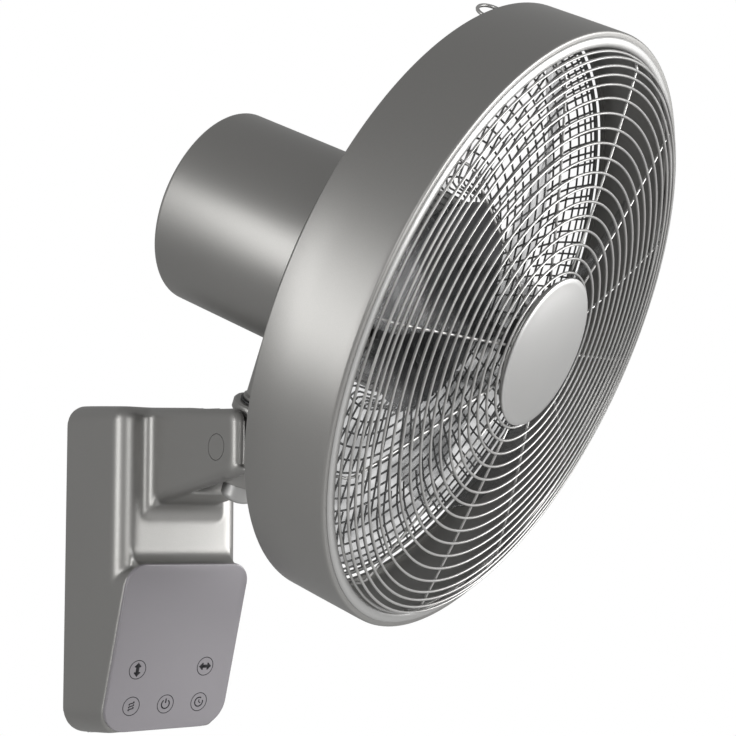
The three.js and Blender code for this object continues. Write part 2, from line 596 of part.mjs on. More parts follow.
place(headGroup, 'front_bezel', bezel, LIGHT_PAINT);

// ---- Wire guards ----
const WIRE = 2.2; // wire thickness

// One wire ring of three-sided section.
function wireRing(radius, y) {
  const half = WIRE / 2;
  const section = [[radius - half, y + half], [radius, y - half], [radius + half, y + half]];
  return turned(section, RING_SIDES);
}

// Wires of one side view, [radius, y] points all round, one every 30 degrees.
function radialWires(outline) {
  const wire = prism(polygon(outline), ALONG_Z, -WIRE / 2, WIRE);
  const turn = 360 / GRILLE_WIRES;
  return Array.from({ length: GRILLE_WIRES }, (_, i) => wire.rotate([0, -90 - turn * i, 0]));
}

// Front of the guard: a shallow bowl that turns back behind the bezel at its edge.
const DOME_FRONT_Y = -184.94;
const DOME_BOW = 0.000316;
const DOME_EDGE_RADIUS = 185;
const EDGE_RINGS = [[179.6, -174.75], [189.8, -172.2]];

function domeY(radius) {
  return DOME_FRONT_Y + DOME_BOW * radius ** 2;
}

function frontGrille() {
  let grille = turned([[43, -185.5], [50, -185.5], [50, -182], [43, -182]], RING_SIDES);
  for (let r = GRILLE_FIRST_RING; r < 170; r += GRILLE_PITCH) {
    grille = grille.add(wireRing(r, domeY(r)));
  }
  for (const [r, y] of EDGE_RINGS) grille = grille.add(wireRing(r, y));
  const front = [45, 90, 130, 160, DOME_EDGE_RADIUS].map((r) => [r, domeY(r)]);
  const rear = front.map(([r, y]) => [r, y + WIRE]).reverse();
  const edge = [[190.2, -171.8], [192.5, -167.8], [192.6, -163.6], [195.4, -163.6], [195.4, -161.4],
    [190.4, -161.4], [190.3, -166.8], [188.4, -169.6]];
  for (const wire of radialWires([...front, ...edge, ...rear])) grille = grille.add(wire);
  const rim = turned([[193.6, -163.9], [196.8, -163.9], [196.8, -160.6], [193.6, -160.6]], RING_SIDES);
  return grille.add(rim).rotate([0, GRILLE_ROLL, 0]);
}

const REAR_FIRST_RING = 100.9;
const REAR_PITCH = 18.44; // ring to ring: every second ring of the real guard
const REAR_PLATE_RADIUS = 72;
const REAR_EDGE_RINGS = [[173, -91.8], [188.5, -95.5]];
// Middle line of a rear wire: from the plate, back beside the can, out as a dish, forward to the rim.
const REAR_PATH = [[71, -105.9], [75.6, -103.8], [77.6, -91], [81.6, -86.8], [130, -87.9],
  [165, -89.6], [183, -92.2], [190.5, -96.6], [196, -104.6]];

// Closed outline round a path of [radius, y] points, as wide as a wire.
function wireOutline(path) {
  const left = [];
  const right = [];
  path.forEach(([r, y], i) => {
    const [beforeR, beforeY] = path[Math.max(i - 1, 0)];
    const [afterR, afterY] = path[Math.min(i + 1, path.length - 1)];
    const way = new THREE.Vector2(afterR - beforeR, afterY - beforeY).setLength(WIRE / 2);
    left.push([r + way.y, y - way.x]);
    right.unshift([r - way.y, y + way.x]);
  });
  return [...left, ...right];
}

function rearGuard() {
  let guard = turned([[31, GUARD_Y], [REAR_PLATE_RADIUS, GUARD_Y],
    [REAR_PLATE_RADIUS, GUARD_Y + 1.6], [31, GUARD_Y + 1.6]], RING_SIDES);
  for (const wire of radialWires(wireOutline(REAR_PATH))) guard = guard.add(wire);
  const [, dishY] = REAR_PATH[3];
  for (let r = REAR_FIRST_RING; r < 160; r += REAR_PITCH) {
    guard = guard.add(wireRing(r, dishY - WIRE - 0.0004 * (r - 80) ** 2));
  }
  for (const [r, y] of REAR_EDGE_RINGS) guard = guard.add(wireRing(r, y - WIRE / 2));
  const rimFront = BAND_REAR_Y + GAP;
  return guard.add(turned([[194, rimFront], [198, rimFront], [198, rimFront + WIRE],
    [194, rimFront + WIRE]], RING_SIDES));
}

const hubCap = turned([[0, -189.3], [24, -189], [42, -188.1], [48.5, -187.5], [50.8, -186.8],
  [50.3, -185.8], [0, -185.8]], 32);
const guardNut = turned([[30.5, -112.5], [42, -112.5], [44, -107.4], [30.5, -107.4]], 24);
place(headGroup, 'front_grille', frontGrille(), LIGHT_PAINT);
place(headGroup, 'hub_cap', hubCap, LIGHT_PAINT);
place(headGroup, 'rear_guard', rearGuard(), LIGHT_PAINT);
place(headGroup, 'guard_nut', guardNut, DARK_PLASTIC);

// Wire eye on the rear edge of the band, a little to one side of the top.
function hangLoop() {
  const radius = BAND_RADIUS - BAND_THICKNESS - 2;
  const rear = BAND_REAR_Y + 4;
  const reach = 8;
  const path = new THREE.CatmullRomCurve3([
    new THREE.Vector3(-9, rear, radius), new THREE.Vector3(-9, rear + reach * 0.6, radius + 1),
    new THREE.Vector3(0, rear + reach, radius + 2), new THREE.Vector3(9, rear + reach * 0.6, radius + 1),
    new THREE.Vector3(9, rear, radius)]);
  const section = new THREE.Shape();
  section.absarc(0, 0, 1.25, 0, 2 * Math.PI);
  const wire = new THREE.ExtrudeGeometry(section, { steps: 14, curveSegments: 3, extrudePath: path });
  return solid(wire).rotate([0, -16, 0]);
}

place(headGroup, 'hang_loop', hangLoop(), LIGHT_PAINT);

// ---- Rotor ----
const SHAFT_RADIUS = 4;
const SHAFT_HOLE = SHAFT_RADIUS + GAP;
const WHEEL_FRONT_Y = -160;
const WHEEL_BACK_Y = -116;
const WHEEL_SIDES = 30;

const rotorCore = turned([[SHAFT_HOLE, -94], [24.4, -94], [24.4, -64], [SHAFT_HOLE, -64]], 24);
const spinnerNut = turned([[SHAFT_HOLE, -168], [12, -168], [13, -160.3], [SHAFT_HOLE, -160.3]], 16);
place(headGroup, 'motor_shaft', cylinder('y', SHAFT_RADIUS, -166, -50), STEEL);
place(headGroup, 'rotor_core', rotorCore, STEEL);
place(headGroup, 'spinner_nut', spinnerNut, DARK_PLASTIC);

const BLADE_THICKNESS = 1.6;
const BLADE_CENTRE_Y = -137;
const BLADE_START = 20; // degrees from the top, first blade
const ROOT_PITCH = 40;
const TIP_PITCH = 16;
const BLADE_SWEEP = 24;
const BLADE_CAMBER = 4;

// Width of a blade at t = 0 (root) to 1 (tip): widest past the middle, rounded tip.
function chordAt(t) {
  return 52 + 56 * Math.sin(Math.PI * (t * 0.62 + 0.08)) - 26 * t ** 6;
}

// One blade as a thin curved sheet: rows from hub to tip, columns from edge to edge.
function blade(startAngle) {
  const rows = 6;
  const columns = 3;
  const innerRadius = SPIN_HUB_RADIUS - 3;
  const points = [];
  for (const face of [-1, 1]) {
    for (let i = 0; i <= rows; i += 1) {
      const t = i / rows;
      const radius = innerRadius + (BLADE_TIP_RADIUS - innerRadius) * t;
      const pitch = (ROOT_PITCH + (TIP_PITCH - ROOT_PITCH) * t) * DEG;
      const chord = chordAt(t);
      const sweep = BLADE_SWEEP * DEG * t ** 1.5;
      for (let j = 0; j <= columns; j += 1) {
        const s = j / columns - 0.5;
        const camber = BLADE_CAMBER * (1 - 4 * s * s);
        const y = BLADE_CENTRE_Y + s * chord * Math.sin(pitch) + camber;
        const angle = startAngle - sweep + (s * chord * Math.cos(pitch)) / radius;
        const depth = y + (face * BLADE_THICKNESS) / 2;
        points.push(radius * Math.sin(angle), depth, radius * Math.cos(angle));
      }
    }
  }
  const perFace = (rows + 1) * (columns + 1);
  const at = (face, i, j) => face * perFace + i * (columns + 1) + j;
  const index = [];
  const quad = (a, b, c, d) => index.push(a, b, c, a, c, d);
  for (let i = 0; i < rows; i += 1) {
    for (let j = 0; j < columns; j += 1) {
      quad(at(0, i, j), at(0, i, j + 1), at(0, i + 1, j + 1), at(0, i + 1, j));
      quad(at(1, i, j), at(1, i + 1, j), at(1, i + 1, j + 1), at(1, i, j + 1));
    }
    quad(at(0, i, 0), at(0, i + 1, 0), at(1, i + 1, 0), at(1, i, 0));
    quad(at(0, i, columns), at(1, i, columns), at(1, i + 1, columns), at(0, i + 1, columns));
  }
  for (let j = 0; j < columns; j += 1) {
    quad(at(0, 0, j), at(1, 0, j), at(1, 0, j + 1), at(0, 0, j + 1));
    quad(at(0, rows, j), at(0, rows, j + 1), at(1, rows, j + 1), at(1, rows, j));
  }
  const geometry = new THREE.BufferGeometry();
  geometry.setAttribute('position', new THREE.Float32BufferAttribute(points, 3));
  geometry.setIndex(index);
  return solid(geometry);
}

function bladeWheel() {
  const [hub, front, back] = [SPIN_HUB_RADIUS, WHEEL_FRONT_Y, WHEEL_BACK_Y];
  let wheel = turned([[SHAFT_HOLE, front], [hub - 6, front], [hub, front + 8], [hub, back],
    [hub - 3, back], [hub - 3, front + 9], [hub - 8, front + 4], [12, front + 4], [12, back + 1],
    [SHAFT_HOLE, back + 1]], WHEEL_SIDES);
  const bore = cylinder('y', hub - 3.2, back - 40, back + 10, 0, 0, WHEEL_SIDES);
  for (let i = 0; i < BLADES; i += 1) {
    const angle = (BLADE_START + (i * 360) / BLADES) * DEG;
    wheel = wheel.add(blade(angle).subtract(bore));
  }
  return wheel;
}

place(headGroup, 'blade_wheel', bladeWheel(), BLADE_GREY);

export default fan;
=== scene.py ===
import json
import math

import bmesh
import bpy
from mathutils import Matrix, Vector


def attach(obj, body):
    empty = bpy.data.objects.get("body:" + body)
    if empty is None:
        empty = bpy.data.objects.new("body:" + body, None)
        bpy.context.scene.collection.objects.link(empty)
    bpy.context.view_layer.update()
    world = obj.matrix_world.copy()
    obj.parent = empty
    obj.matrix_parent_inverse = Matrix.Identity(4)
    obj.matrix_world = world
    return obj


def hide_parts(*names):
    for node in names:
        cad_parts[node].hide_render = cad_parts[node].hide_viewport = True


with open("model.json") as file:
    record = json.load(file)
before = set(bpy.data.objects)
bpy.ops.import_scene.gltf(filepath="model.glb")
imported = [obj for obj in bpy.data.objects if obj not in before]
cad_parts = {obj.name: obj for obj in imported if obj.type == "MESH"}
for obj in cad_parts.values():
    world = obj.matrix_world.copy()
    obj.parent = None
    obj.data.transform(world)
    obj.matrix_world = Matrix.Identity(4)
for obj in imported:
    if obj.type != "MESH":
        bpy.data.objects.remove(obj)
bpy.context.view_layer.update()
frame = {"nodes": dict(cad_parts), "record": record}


# ---- Camera ----
# Standing below the fan and to its left, looking slightly up, as the photograph was taken.
camera = bpy.data.objects.new("photo_camera", bpy.data.cameras.new("photo_camera"))
bpy.context.scene.collection.objects.link(camera)
camera.location = (-0.7826, -1.1841, 0.0180)
camera.rotation_euler = (math.radians(90 + 5.5), 0, math.radians(-41))
camera.data.lens = 89.5
camera.data.sensor_width = 36
bpy.context.scene.camera = camera


# ---- Studio ----
# A plain room, white where the camera sees it and mid grey as a light, with a pale floor well below
# the fan. Two tall soft boxes stand to the left and in front, and a wide one stands to the right.
world = bpy.data.worlds.new("studio")
bpy.context.scene.world = world
world.use_nodes = True
room = world.node_tree
room.nodes.clear()
room_out = room.nodes.new("ShaderNodeOutputWorld")
room_seen = room.nodes.new("ShaderNodeMixShader")
room_dim = room.nodes.new("ShaderNodeBackground")
room_white = room.nodes.new("ShaderNodeBackground")
room_path = room.nodes.new("ShaderNodeLightPath")
room_any = room.nodes.new("ShaderNodeMath")
room_any.operation = "MAXIMUM"
room_dim.inputs["Color"].default_value = (0.42, 0.42, 0.42, 1)
room_white.inputs["Color"].default_value = (1, 1, 1, 1)
room.links.new(room_path.outputs["Is Camera Ray"], room_any.inputs[0])
room.links.new(room_path.outputs["Is Transmission Ray"], room_any.inputs[1])
room.links.new(room_any.outputs[0], room_seen.inputs["Fac"])
room.links.new(room_dim.outputs[0], room_seen.inputs[1])
room.links.new(room_white.outputs[0], room_seen.inputs[2])
room.links.new(room_seen.outputs[0], room_out.inputs["Surface"])

LIGHT_TARGET = Vector((0.0, -0.2, 0.1))
FLOOR_HEIGHT = -1.1


def soft_box(name, bearing, height, distance, width, tall, power):
    """Rectangular lamp on a bearing (degrees, anticlockwise from +X) and height angle."""
    lamp = bpy.data.lights.new(name, "AREA")
    lamp.shape = "RECTANGLE"
    lamp.size, lamp.size_y, lamp.energy = width, tall, power
    stand = bpy.data.objects.new(name, lamp)
    bpy.context.scene.collection.objects.link(stand)
    turn, lift = math.radians(bearing), math.radians(height)
    way = Vector((math.cos(turn) * math.cos(lift), math.sin(turn) * math.cos(lift), math.sin(lift)))
    stand.location = LIGHT_TARGET + way * distance
    stand.rotation_euler = way.to_track_quat("Z", "Y").to_euler()
    stand.visible_camera = False


soft_box("left_box", 174, 4, 2.2, 0.6, 1.6, 22)
soft_box("front_box", 237, 4, 2.4, 0.5, 1.3, 15)
soft_box("right_box", 318, 4, 2.4, 2.1, 1.3, 80)
bpy.context.scene.view_settings.view_transform = "Standard"

floor_shine = bpy.data.materials.new("floor_white")
floor_shine.use_nodes = True
floor_nodes = floor_shine.node_tree.nodes
floor_links = floor_shine.node_tree.links
floor_paint = floor_nodes["Principled BSDF"]
floor_paint.inputs["Base Color"].default_value = (0.65, 0.65, 0.65, 1)
floor_paint.inputs["Roughness"].default_value = 0.8
floor_glow = floor_nodes.new("ShaderNodeEmission")
floor_mix = floor_nodes.new("ShaderNodeMixShader")
floor_path = floor_nodes.new("ShaderNodeLightPath")
floor_links.new(floor_path.outputs["Is Camera Ray"], floor_mix.inputs["Fac"])
floor_links.new(floor_paint.outputs[0], floor_mix.inputs[1])
floor_links.new(floor_glow.outputs[0], floor_mix.inputs[2])
floor_links.new(floor_mix.outputs[0], floor_nodes["Material Output"].inputs["Surface"])
bpy.ops.object.select_all(action="DESELECT")
bpy.ops.mesh.primitive_plane_add(size=6, location=(0, 0, FLOOR_HEIGHT))
floor = bpy.context.object
floor.name = "floor"
floor.data.materials.append(floor_shine)


# ---- Base housing ----
# Die-cast housing that hangs on the wall plate, with the fork of the arm cast on it in one piece.
# Every edge is rounded, and it is sprayed in warm grey metallic paint with a satin clear coat.
MM = 0.001


def only(piece):
    """Leave edit mode and select this piece alone."""
    if bpy.context.object and bpy.context.object.mode != "OBJECT":
        bpy.ops.object.mode_set(mode="OBJECT")
    bpy.ops.object.select_all(action="DESELECT")
    if piece:
        piece.select_set(True)
        bpy.context.view_layer.objects.active = piece


def apply_place(piece):
    """Make the piece's place, turn and scale part of its mesh."""
    only(piece)
    bpy.ops.object.transform_apply(location=True, rotation=True, scale=True)


def block(name, low, high):
    """Cube stretched between two corners, in millimetres."""
    only(None)
    centre = [(a + b) / 2 * MM for a, b in zip(low, high)]
    bpy.ops.mesh.primitive_cube_add(size=1, location=centre)
    piece = bpy.context.object
    piece.name = name
    piece.scale = [(b - a) * MM for a, b in zip(low, high)]
    apply_place(piece)
    return piece


def rod(name, axis, radius, low, high, centre=(0, 0), sides=64):
    """Cylinder along X, Y or Z between two places, in millimetres."""
    only(None)
    turn = {"X": (0, math.pi / 2, 0), "Y": (math.pi / 2, 0, 0), "Z": (0, 0, 0)}[axis]
    middle = (low + high) / 2
    place = {"X": (middle, *centre), "Y": (centre[0], middle, centre[1]), "Z": (*centre, middle)}[axis]
    bpy.ops.mesh.primitive_cylinder_add(
        vertices=sides, radius=radius * MM, depth=(high - low) * MM,
        location=[v * MM for v in place], rotation=turn)
    piece = bpy.context.object
    piece.name = name
    apply_place(piece)
    return piece


def pick(piece, kind, test):
    """In edit mode, select the corners, edges or faces whose place (mm) and direction pass."""
    only(piece)
    bpy.ops.object.mode_set(mode="EDIT")
    bpy.ops.mesh.select_mode(type=kind)
    bpy.ops.mesh.select_all(action="DESELECT")
    mesh = bmesh.from_edit_mesh(piece.data)
    for part in list({"VERT": mesh.verts, "EDGE": mesh.edges, "FACE": mesh.faces}[kind]):
        if kind == "VERT":
            place, way = part.co, part.normal
        elif kind == "EDGE":
            start, end = (v.co for v in part.verts)
            place, way = (start + end) / 2, (end - start).normalized()
        else:
            place, way = part.calc_center_median(), part.normal
        if test(place / MM, way):
            part.select_set(True)
    bmesh.update_edit_mesh(piece.data)


def round_edges(piece, test, radius, segments=10):
    """Round the edges that pass the test, with a radius in millimetres."""
    pick(piece, "EDGE", test)
    bpy.ops.mesh.bevel(offset=radius * MM, segments=segments, affect="EDGES")
    bpy.ops.object.mode_set(mode="OBJECT")


def shift_corners(piece, test, move):
    """Move the corners that pass the test, in millimetres."""
    pick(piece, "VERT", test)
    bpy.ops.transform.translate(value=[v * MM for v in move])
    bpy.ops.object.mode_set(mode="OBJECT")


def weld(piece):
    """Join the corners that lie on each other, such as a wire's and its end caps'."""
    only(piece)
    bpy.ops.object.mode_set(mode="EDIT")
    bpy.ops.mesh.select_all(action="SELECT")
    bpy.ops.mesh.remove_doubles(threshold=1e-6)
    bpy.ops.mesh.normals_make_consistent(inside=False)
    bpy.ops.object.mode_set(mode="OBJECT")


def shade(piece, sharp=35):
    """Smooth shading that leaves edges sharper than this angle (degrees) crisp."""
    only(piece)
    bpy.ops.object.shade_smooth_by_angle(angle=math.radians(sharp))


def combine(piece, tool, how, solver="MANIFOLD"):
    """Add, cut away or keep the overlap with another solid, which is used up."""
    step = piece.modifiers.new("combine", "BOOLEAN")
    step.object, step.operation, step.solver = tool, how, solver
    only(piece)
    bpy.ops.object.modifier_apply(modifier=step.name)
    bpy.data.objects.remove(tool, do_unlink=True)


HALF_WIDTH = 53.5
BASE_TOP = 122
BASE_BOTTOM = -121
BASE_DEPTH = 76.5
SHOULDER, CHIN = 16, 20  # corners of the front view, above and below
UPRIGHT_CORNER, TOP_ROUND = 14.5, 10
PANEL_CORNER = 15
TAPER = math.tan(math.radians(3.4))  # fall of the top towards the front
PANEL_HEAD_Y, PANEL_FOOT_Y, PANEL_FOOT_RISE = -85.6, -50, 2.97  # the leaning front
LEDGE = 2.8
LEDGE_FILLET = 12
TILT_Y, TILT_Z = -159, 85  # the tilt pivot


def along(axis):
    """Test for an edge that runs along X, Y or Z."""
    index = "XYZ".index(axis)
    return lambda way: abs(way[index]) > 0.9


runs_x, runs_y, runs_z = along("X"), along("Y"), along("Z")

FRONT_LIMIT = -101  # clear of the ledge's hollow
housing = block("base_shell", (-HALF_WIDTH, FRONT_LIMIT, BASE_BOTTOM), (HALF_WIDTH, 0, BASE_TOP))
round_edges(housing, lambda p, d: runs_y(d) and p.z > 0, SHOULDER, 12)
round_edges(housing, lambda p, d: runs_y(d) and p.z < 0, CHIN, 12)

upright = block("upright", (-HALF_WIDTH, -BASE_DEPTH, -14), (HALF_WIDTH, 1, BASE_TOP))
shift_corners(upright, lambda p, n: p.y < -50 and p.z > 0, (0, 0, -BASE_DEPTH * TAPER))
round_edges(upright, lambda p, d: runs_z(d) and p.y < -50, UPRIGHT_CORNER, 12)
round_edges(upright, lambda p, d: p.z > BASE_TOP - 6 and p.y < 0.5 and not runs_z(d), TOP_ROUND)

# the wedge behind the panel, with the panel's rounded corners
wedge = block("wedge", (-HALF_WIDTH, PANEL_HEAD_Y, BASE_BOTTOM), (HALF_WIDTH, 1, LEDGE))
shift_corners(wedge, lambda p, n: p.y < -50 and p.z < 0,
              (0, PANEL_FOOT_Y - PANEL_HEAD_Y, PANEL_FOOT_RISE))
round_edges(wedge, lambda p, d: runs_y(d) and p.z > 0, PANEL_CORNER, 12)
combine(upright, wedge, "UNION")
ledge_fill = block("ledge_fill", (-44, -86.2, LEDGE - 2), (44, -70, LEDGE + LEDGE_FILLET))
ledge_cut = rod("ledge_cut", "X", LEDGE_FILLET, -60, 60,
                (-BASE_DEPTH - LEDGE_FILLET, LEDGE + LEDGE_FILLET))
combine(ledge_fill, ledge_cut, "DIFFERENCE")
combine(upright, ledge_fill, "UNION")
combine(housing, upright, "INTERSECT")

# the arm: a bar with sloping top, blunt nose and small lip, and hollow curves at its root
ARM_HALF_WIDTH = 31
NOSE_Y, NOSE_CORNER, EDGE_ROUND = -183.5, 11, 8
LIP_BACK, LIP_FRONT = -166, -190.5
UNDER_AT_WALL, UNDER_SLOPE = 31.37, math.tan(math.radians(10.4))


def over(y):
    """Height of the arm's top."""
    return BASE_TOP + y * TAPER


def under(y):
    """Height of the arm's underside."""
    return UNDER_AT_WALL - y * UNDER_SLOPE


def side_block(name, half_width, back, front):
    """Block whose side view is four-cornered: (y, low z, high z) at the back and at the front."""
    piece = block(name, (-half_width, front[0], front[1]), (half_width, back[0], front[2]))
    middle_y, middle_z = (back[0] + front[0]) / 2, (front[1] + front[2]) / 2
    shift_corners(piece, lambda p, n: p.y > middle_y and p.z > middle_z, (0, 0, back[2] - front[2]))
    shift_corners(piece, lambda p, n: p.y > middle_y and p.z < middle_z, (0, 0, back[1] - front[1]))
    return piece


arm = side_block("arm", ARM_HALF_WIDTH, (-60, under(-60), over(-60)),
                 (NOSE_Y, under(NOSE_Y), over(NOSE_Y)))
round_edges(arm, lambda p, d: runs_x(d) and p.y < NOSE_Y + 1, NOSE_CORNER, 12)
round_edges(arm, lambda p, d: abs(p.x) > ARM_HALF_WIDTH - 0.1 and p.y < -61, EDGE_ROUND, 8)
lip = side_block("lip", ARM_HALF_WIDTH - 1.5, (LIP_BACK, under(LIP_BACK), under(LIP_BACK) + 12),
                 (LIP_FRONT, under(LIP_FRONT), under(LIP_FRONT) + 4))
round_edges(lip, lambda p, d: runs_y(d) and p.z < under(p.y) + 1, 3, 6)
combine(arm, lip, "UNION")

# the arm's foot: hollow below by the root fillet, flared to both sides, with rounded lower corners
ROOT_FILLET, FLARE_FILLET = 17, 8
FILLET_Y, FLARE_Y = -BASE_DEPTH - ROOT_FILLET, -BASE_DEPTH - FLARE_FILLET
FILLET_Z = under(FILLET_Y) - ROOT_FILLET
FLARE_WIDTH = ARM_HALF_WIDTH + FLARE_FILLET
WIDE = 60  # half width of the tools, past both sides of the base
HAIR = 0.02  # keeps flat faces apart that would else coincide
foot = side_block("foot", WIDE, (-59, under(-59), over(-59) - 6),
                  (FILLET_Y, under(FILLET_Y), over(FILLET_Y) - 6))
root = block("root", (-WIDE, FILLET_Y + HAIR, FILLET_Z), (WIDE, -59.5, under(FILLET_Y) + 6))
under_cut = rod("under_cut", "X", ROOT_FILLET, -WIDE - 10, WIDE + 10, (FILLET_Y, FILLET_Z), 96)
combine(root, under_cut, "DIFFERENCE")
combine(foot, root, "UNION")
foot_plan = block("foot_plan", (HAIR - FLARE_WIDTH, FLARE_Y + HAIR, 20), (FLARE_WIDTH - HAIR, -58, 130))
for side in (-1, 1):
    flare_cut = rod("flare_cut", "Z", FLARE_FILLET, 10, 140, (side * FLARE_WIDTH, FLARE_Y), 64)
    combine(foot_plan, flare_cut, "DIFFERENCE")
foot_face = block("foot_face", (-39.5, -97, FILLET_Z - 0.4), (39.5, -57, 131))
round_edges(foot_face, lambda p, d: runs_y(d) and p.z < 80, 21, 12)
combine(foot_plan, foot_face, "INTERSECT")
combine(foot, foot_plan, "INTERSECT")
combine(arm, foot, "UNION")
CHEEK_INNER = 23.5
combine(arm, block("slot", (-CHEEK_INNER, -202, 20), (CHEEK_INNER, -120, 131)), "DIFFERENCE")
combine(housing, arm, "UNION")

# the casting's edges melt into each other, so it is rebuilt as one even net and smoothed
soften = housing.modifiers.new("soften", "REMESH")
soften.mode, soften.voxel_size = "VOXEL", 1.15 * MM
only(housing)
bpy.ops.object.modifier_apply(modifier=soften.name)
melt = housing.modifiers.new("melt", "SMOOTH")
melt.factor, melt.iterations = 0.5, 14
bpy.ops.object.modifier_apply(modifier=melt.name)

# the hollow of the shell and its bores are cut after the smoothing, so they stay sharp
SHELL_WALL = 3
CAP_RECESS, CAP_SEAT, PIN_BORE = 9.35, 28.7, 5.3
BUSH_BORE, BUSH_Y = 6.3, -26
LOCK_X, LOCK_Y = 34, -10
hollow = block("hollow", (SHELL_WALL - HALF_WIDTH, -73, BASE_BOTTOM + SHELL_WALL),
               (HALF_WIDTH - SHELL_WALL, 2, BASE_TOP - 4))
round_edges(hollow, lambda p, d: runs_y(d), 14, 8)
shift_corners(hollow, lambda p, n: p.y < -50 and p.z < 0, (0, 24, 2))
shift_corners(hollow, lambda p, n: p.y < -50 and p.z > 60, (0, 8, -4))
combine(housing, hollow, "DIFFERENCE")
for side in (-1, 1):
    ends = sorted((side * CAP_SEAT, side * 40))
    combine(housing, rod("cap_recess", "X", CAP_RECESS, *ends, (TILT_Y, TILT_Z)), "DIFFERENCE")
combine(housing, rod("pin_hole", "X", PIN_BORE, -40, 40, (TILT_Y, TILT_Z)), "DIFFERENCE")
combine(housing, rod("cable_hole", "Y", 7, -122, -108, (0, TILT_Z)), "DIFFERENCE")
combine(housing, rod("bush_hole", "Z", BUSH_BORE, -125, -110, (0, BUSH_Y)), "DIFFERENCE")
for x in (-LOCK_X, LOCK_X):
    combine(housing, rod("lock_hole", "Z", 1.8, -125, -110, (x, LOCK_Y), 24), "DIFFERENCE")
    combine(housing, rod("lock_sink", "Z", 3.4, -125, -118.8, (x, LOCK_Y), 32), "DIFFERENCE")
shade(housing, 40)


def build_surface_group():
    """Fine grain, broad patches and small unevenness that every finish on the fan shares."""
    group = bpy.data.node_groups.new("surface_grain", "ShaderNodeTree")
    face = group.interface
    face.new_socket("Place", in_out="INPUT", socket_type="NodeSocketVector")
    for name, kind, value in (
            ("Colour", "NodeSocketColor", (0.5, 0.5, 0.5, 1)),
            ("Grain Scale", "NodeSocketFloat", 1500),
            ("Grain Contrast", "NodeSocketFloat", 0.1),
            ("Patch Scale", "NodeSocketFloat", 12),
            ("Patch Contrast", "NodeSocketFloat", 0.08),
            ("Roughness", "NodeSocketFloat", 0.4),
            ("Roughness Spread", "NodeSocketFloat", 0.08),
            ("Peel Scale", "NodeSocketFloat", 300),
            ("Peel Share", "NodeSocketFloat", 0.5)):
        socket = face.new_socket(name, in_out="INPUT", socket_type=kind)
        socket.default_value = value
    face.new_socket("Colour", in_out="OUTPUT", socket_type="NodeSocketColor")
    face.new_socket("Roughness", in_out="OUTPUT", socket_type="NodeSocketFloat")
    face.new_socket("Height", in_out="OUTPUT", socket_type="NodeSocketFloat")
    face.new_socket("Patch", in_out="OUTPUT", socket_type="NodeSocketFloat")
    nodes, links = group.nodes, group.links
    given = nodes.new("NodeGroupInput")
    made = nodes.new("NodeGroupOutput")

    def noise(scale_name, detail):
        node = nodes.new("ShaderNodeTexNoise")
        node.inputs["Detail"].default_value = detail
        links.new(given.outputs["Place"], node.inputs["Vector"])
        links.new(given.outputs[scale_name], node.inputs["Scale"])
        return node.outputs["Fac"]

    def math_node(operation, first, second, third=None):
        node = nodes.new("ShaderNodeMath")
        node.operation = operation
        for index, value in enumerate((first, second, third)):
            if value is None:
                continue
            if isinstance(value, (int, float)):
                node.inputs[index].default_value = value
            else:
                links.new(value, node.inputs[index])
        return node.outputs[0]

    grain = noise("Grain Scale", 2)
    patch = noise("Patch Scale", 4)
    peel = noise("Peel Scale", 1)
    grain_swing = math_node("SUBTRACT", grain, 0.5)
    patch_swing = math_node("SUBTRACT", patch, 0.5)
    grain_shift = math_node("MULTIPLY", grain_swing, given.outputs["Grain Contrast"])
    patch_shift = math_node("MULTIPLY", patch_swing, given.outputs["Patch Contrast"])
    level = math_node("ADD", math_node("ADD", grain_shift, patch_shift), 1.0)
    tint = nodes.new("ShaderNodeVectorMath")
    tint.operation = "SCALE"
    links.new(given.outputs["Colour"], tint.inputs[0])
    links.new(level, tint.inputs["Scale"])
    spread = math_node("MULTIPLY", patch_swing, given.outputs["Roughness Spread"])
    rough = math_node("ADD", spread, given.outputs["Roughness"])
    kept_grain = math_node("MULTIPLY", grain, math_node("SUBTRACT", 1.0, given.outputs["Peel Share"]))
    height = math_node("MULTIPLY_ADD", peel, given.outputs["Peel Share"], kept_grain)
    links.new(tint.outputs[0], made.inputs["Colour"])
    links.new(rough, made.inputs["Roughness"])
    links.new(height, made.inputs["Height"])
    links.new(patch, made.inputs["Patch"])
    return group


surface_grain = build_surface_group()


def finish_material(name, colour, bump=0.05, bump_depth=0.0002, shader=None, **grain):
    """Material with the shared grain; `grain` are the group's values, `shader` the shader's own."""
    material = bpy.data.materials.new(name)
    material.use_nodes = True
    nodes, links = material.node_tree.nodes, material.node_tree.links
    surface = nodes["Principled BSDF"]
    place = nodes.new("ShaderNodeTexCoord")
    look = nodes.new("ShaderNodeGroup")
    look.name = "grain"
    look.node_tree = surface_grain
    look.inputs["Colour"].default_value = (*colour, 1)
    for socket, value in grain.items():
        look.inputs[socket.replace("_", " ").title()].default_value = value
    relief = nodes.new("ShaderNodeBump")
    relief.inputs["Strength"].default_value = bump
    relief.inputs["Distance"].default_value = bump_depth
    links.new(place.outputs["Object"], look.inputs["Place"])
    links.new(look.outputs["Colour"], surface.inputs["Base Color"])
    links.new(look.outputs["Roughness"], surface.inputs["Roughness"])
    links.new(look.outputs["Height"], relief.inputs["Height"])
    links.new(relief.outputs["Normal"], surface.inputs["Normal"])
    for socket, value in (shader or {}).items():
        surface.inputs[socket].default_value = value
    return material


grey_paint = finish_material(
    "grey_paint", (0.260, 0.2565, 0.248), bump=0.10, grain_scale=2200, grain_contrast=0.16,
    patch_scale=9, patch_contrast=0.05, roughness=0.42, roughness_spread=0.05, peel_scale=420,
    peel_share=0.6, shader={"Metallic": 0.85, "Coat Weight": 0.06, "Coat Roughness": 0.3})


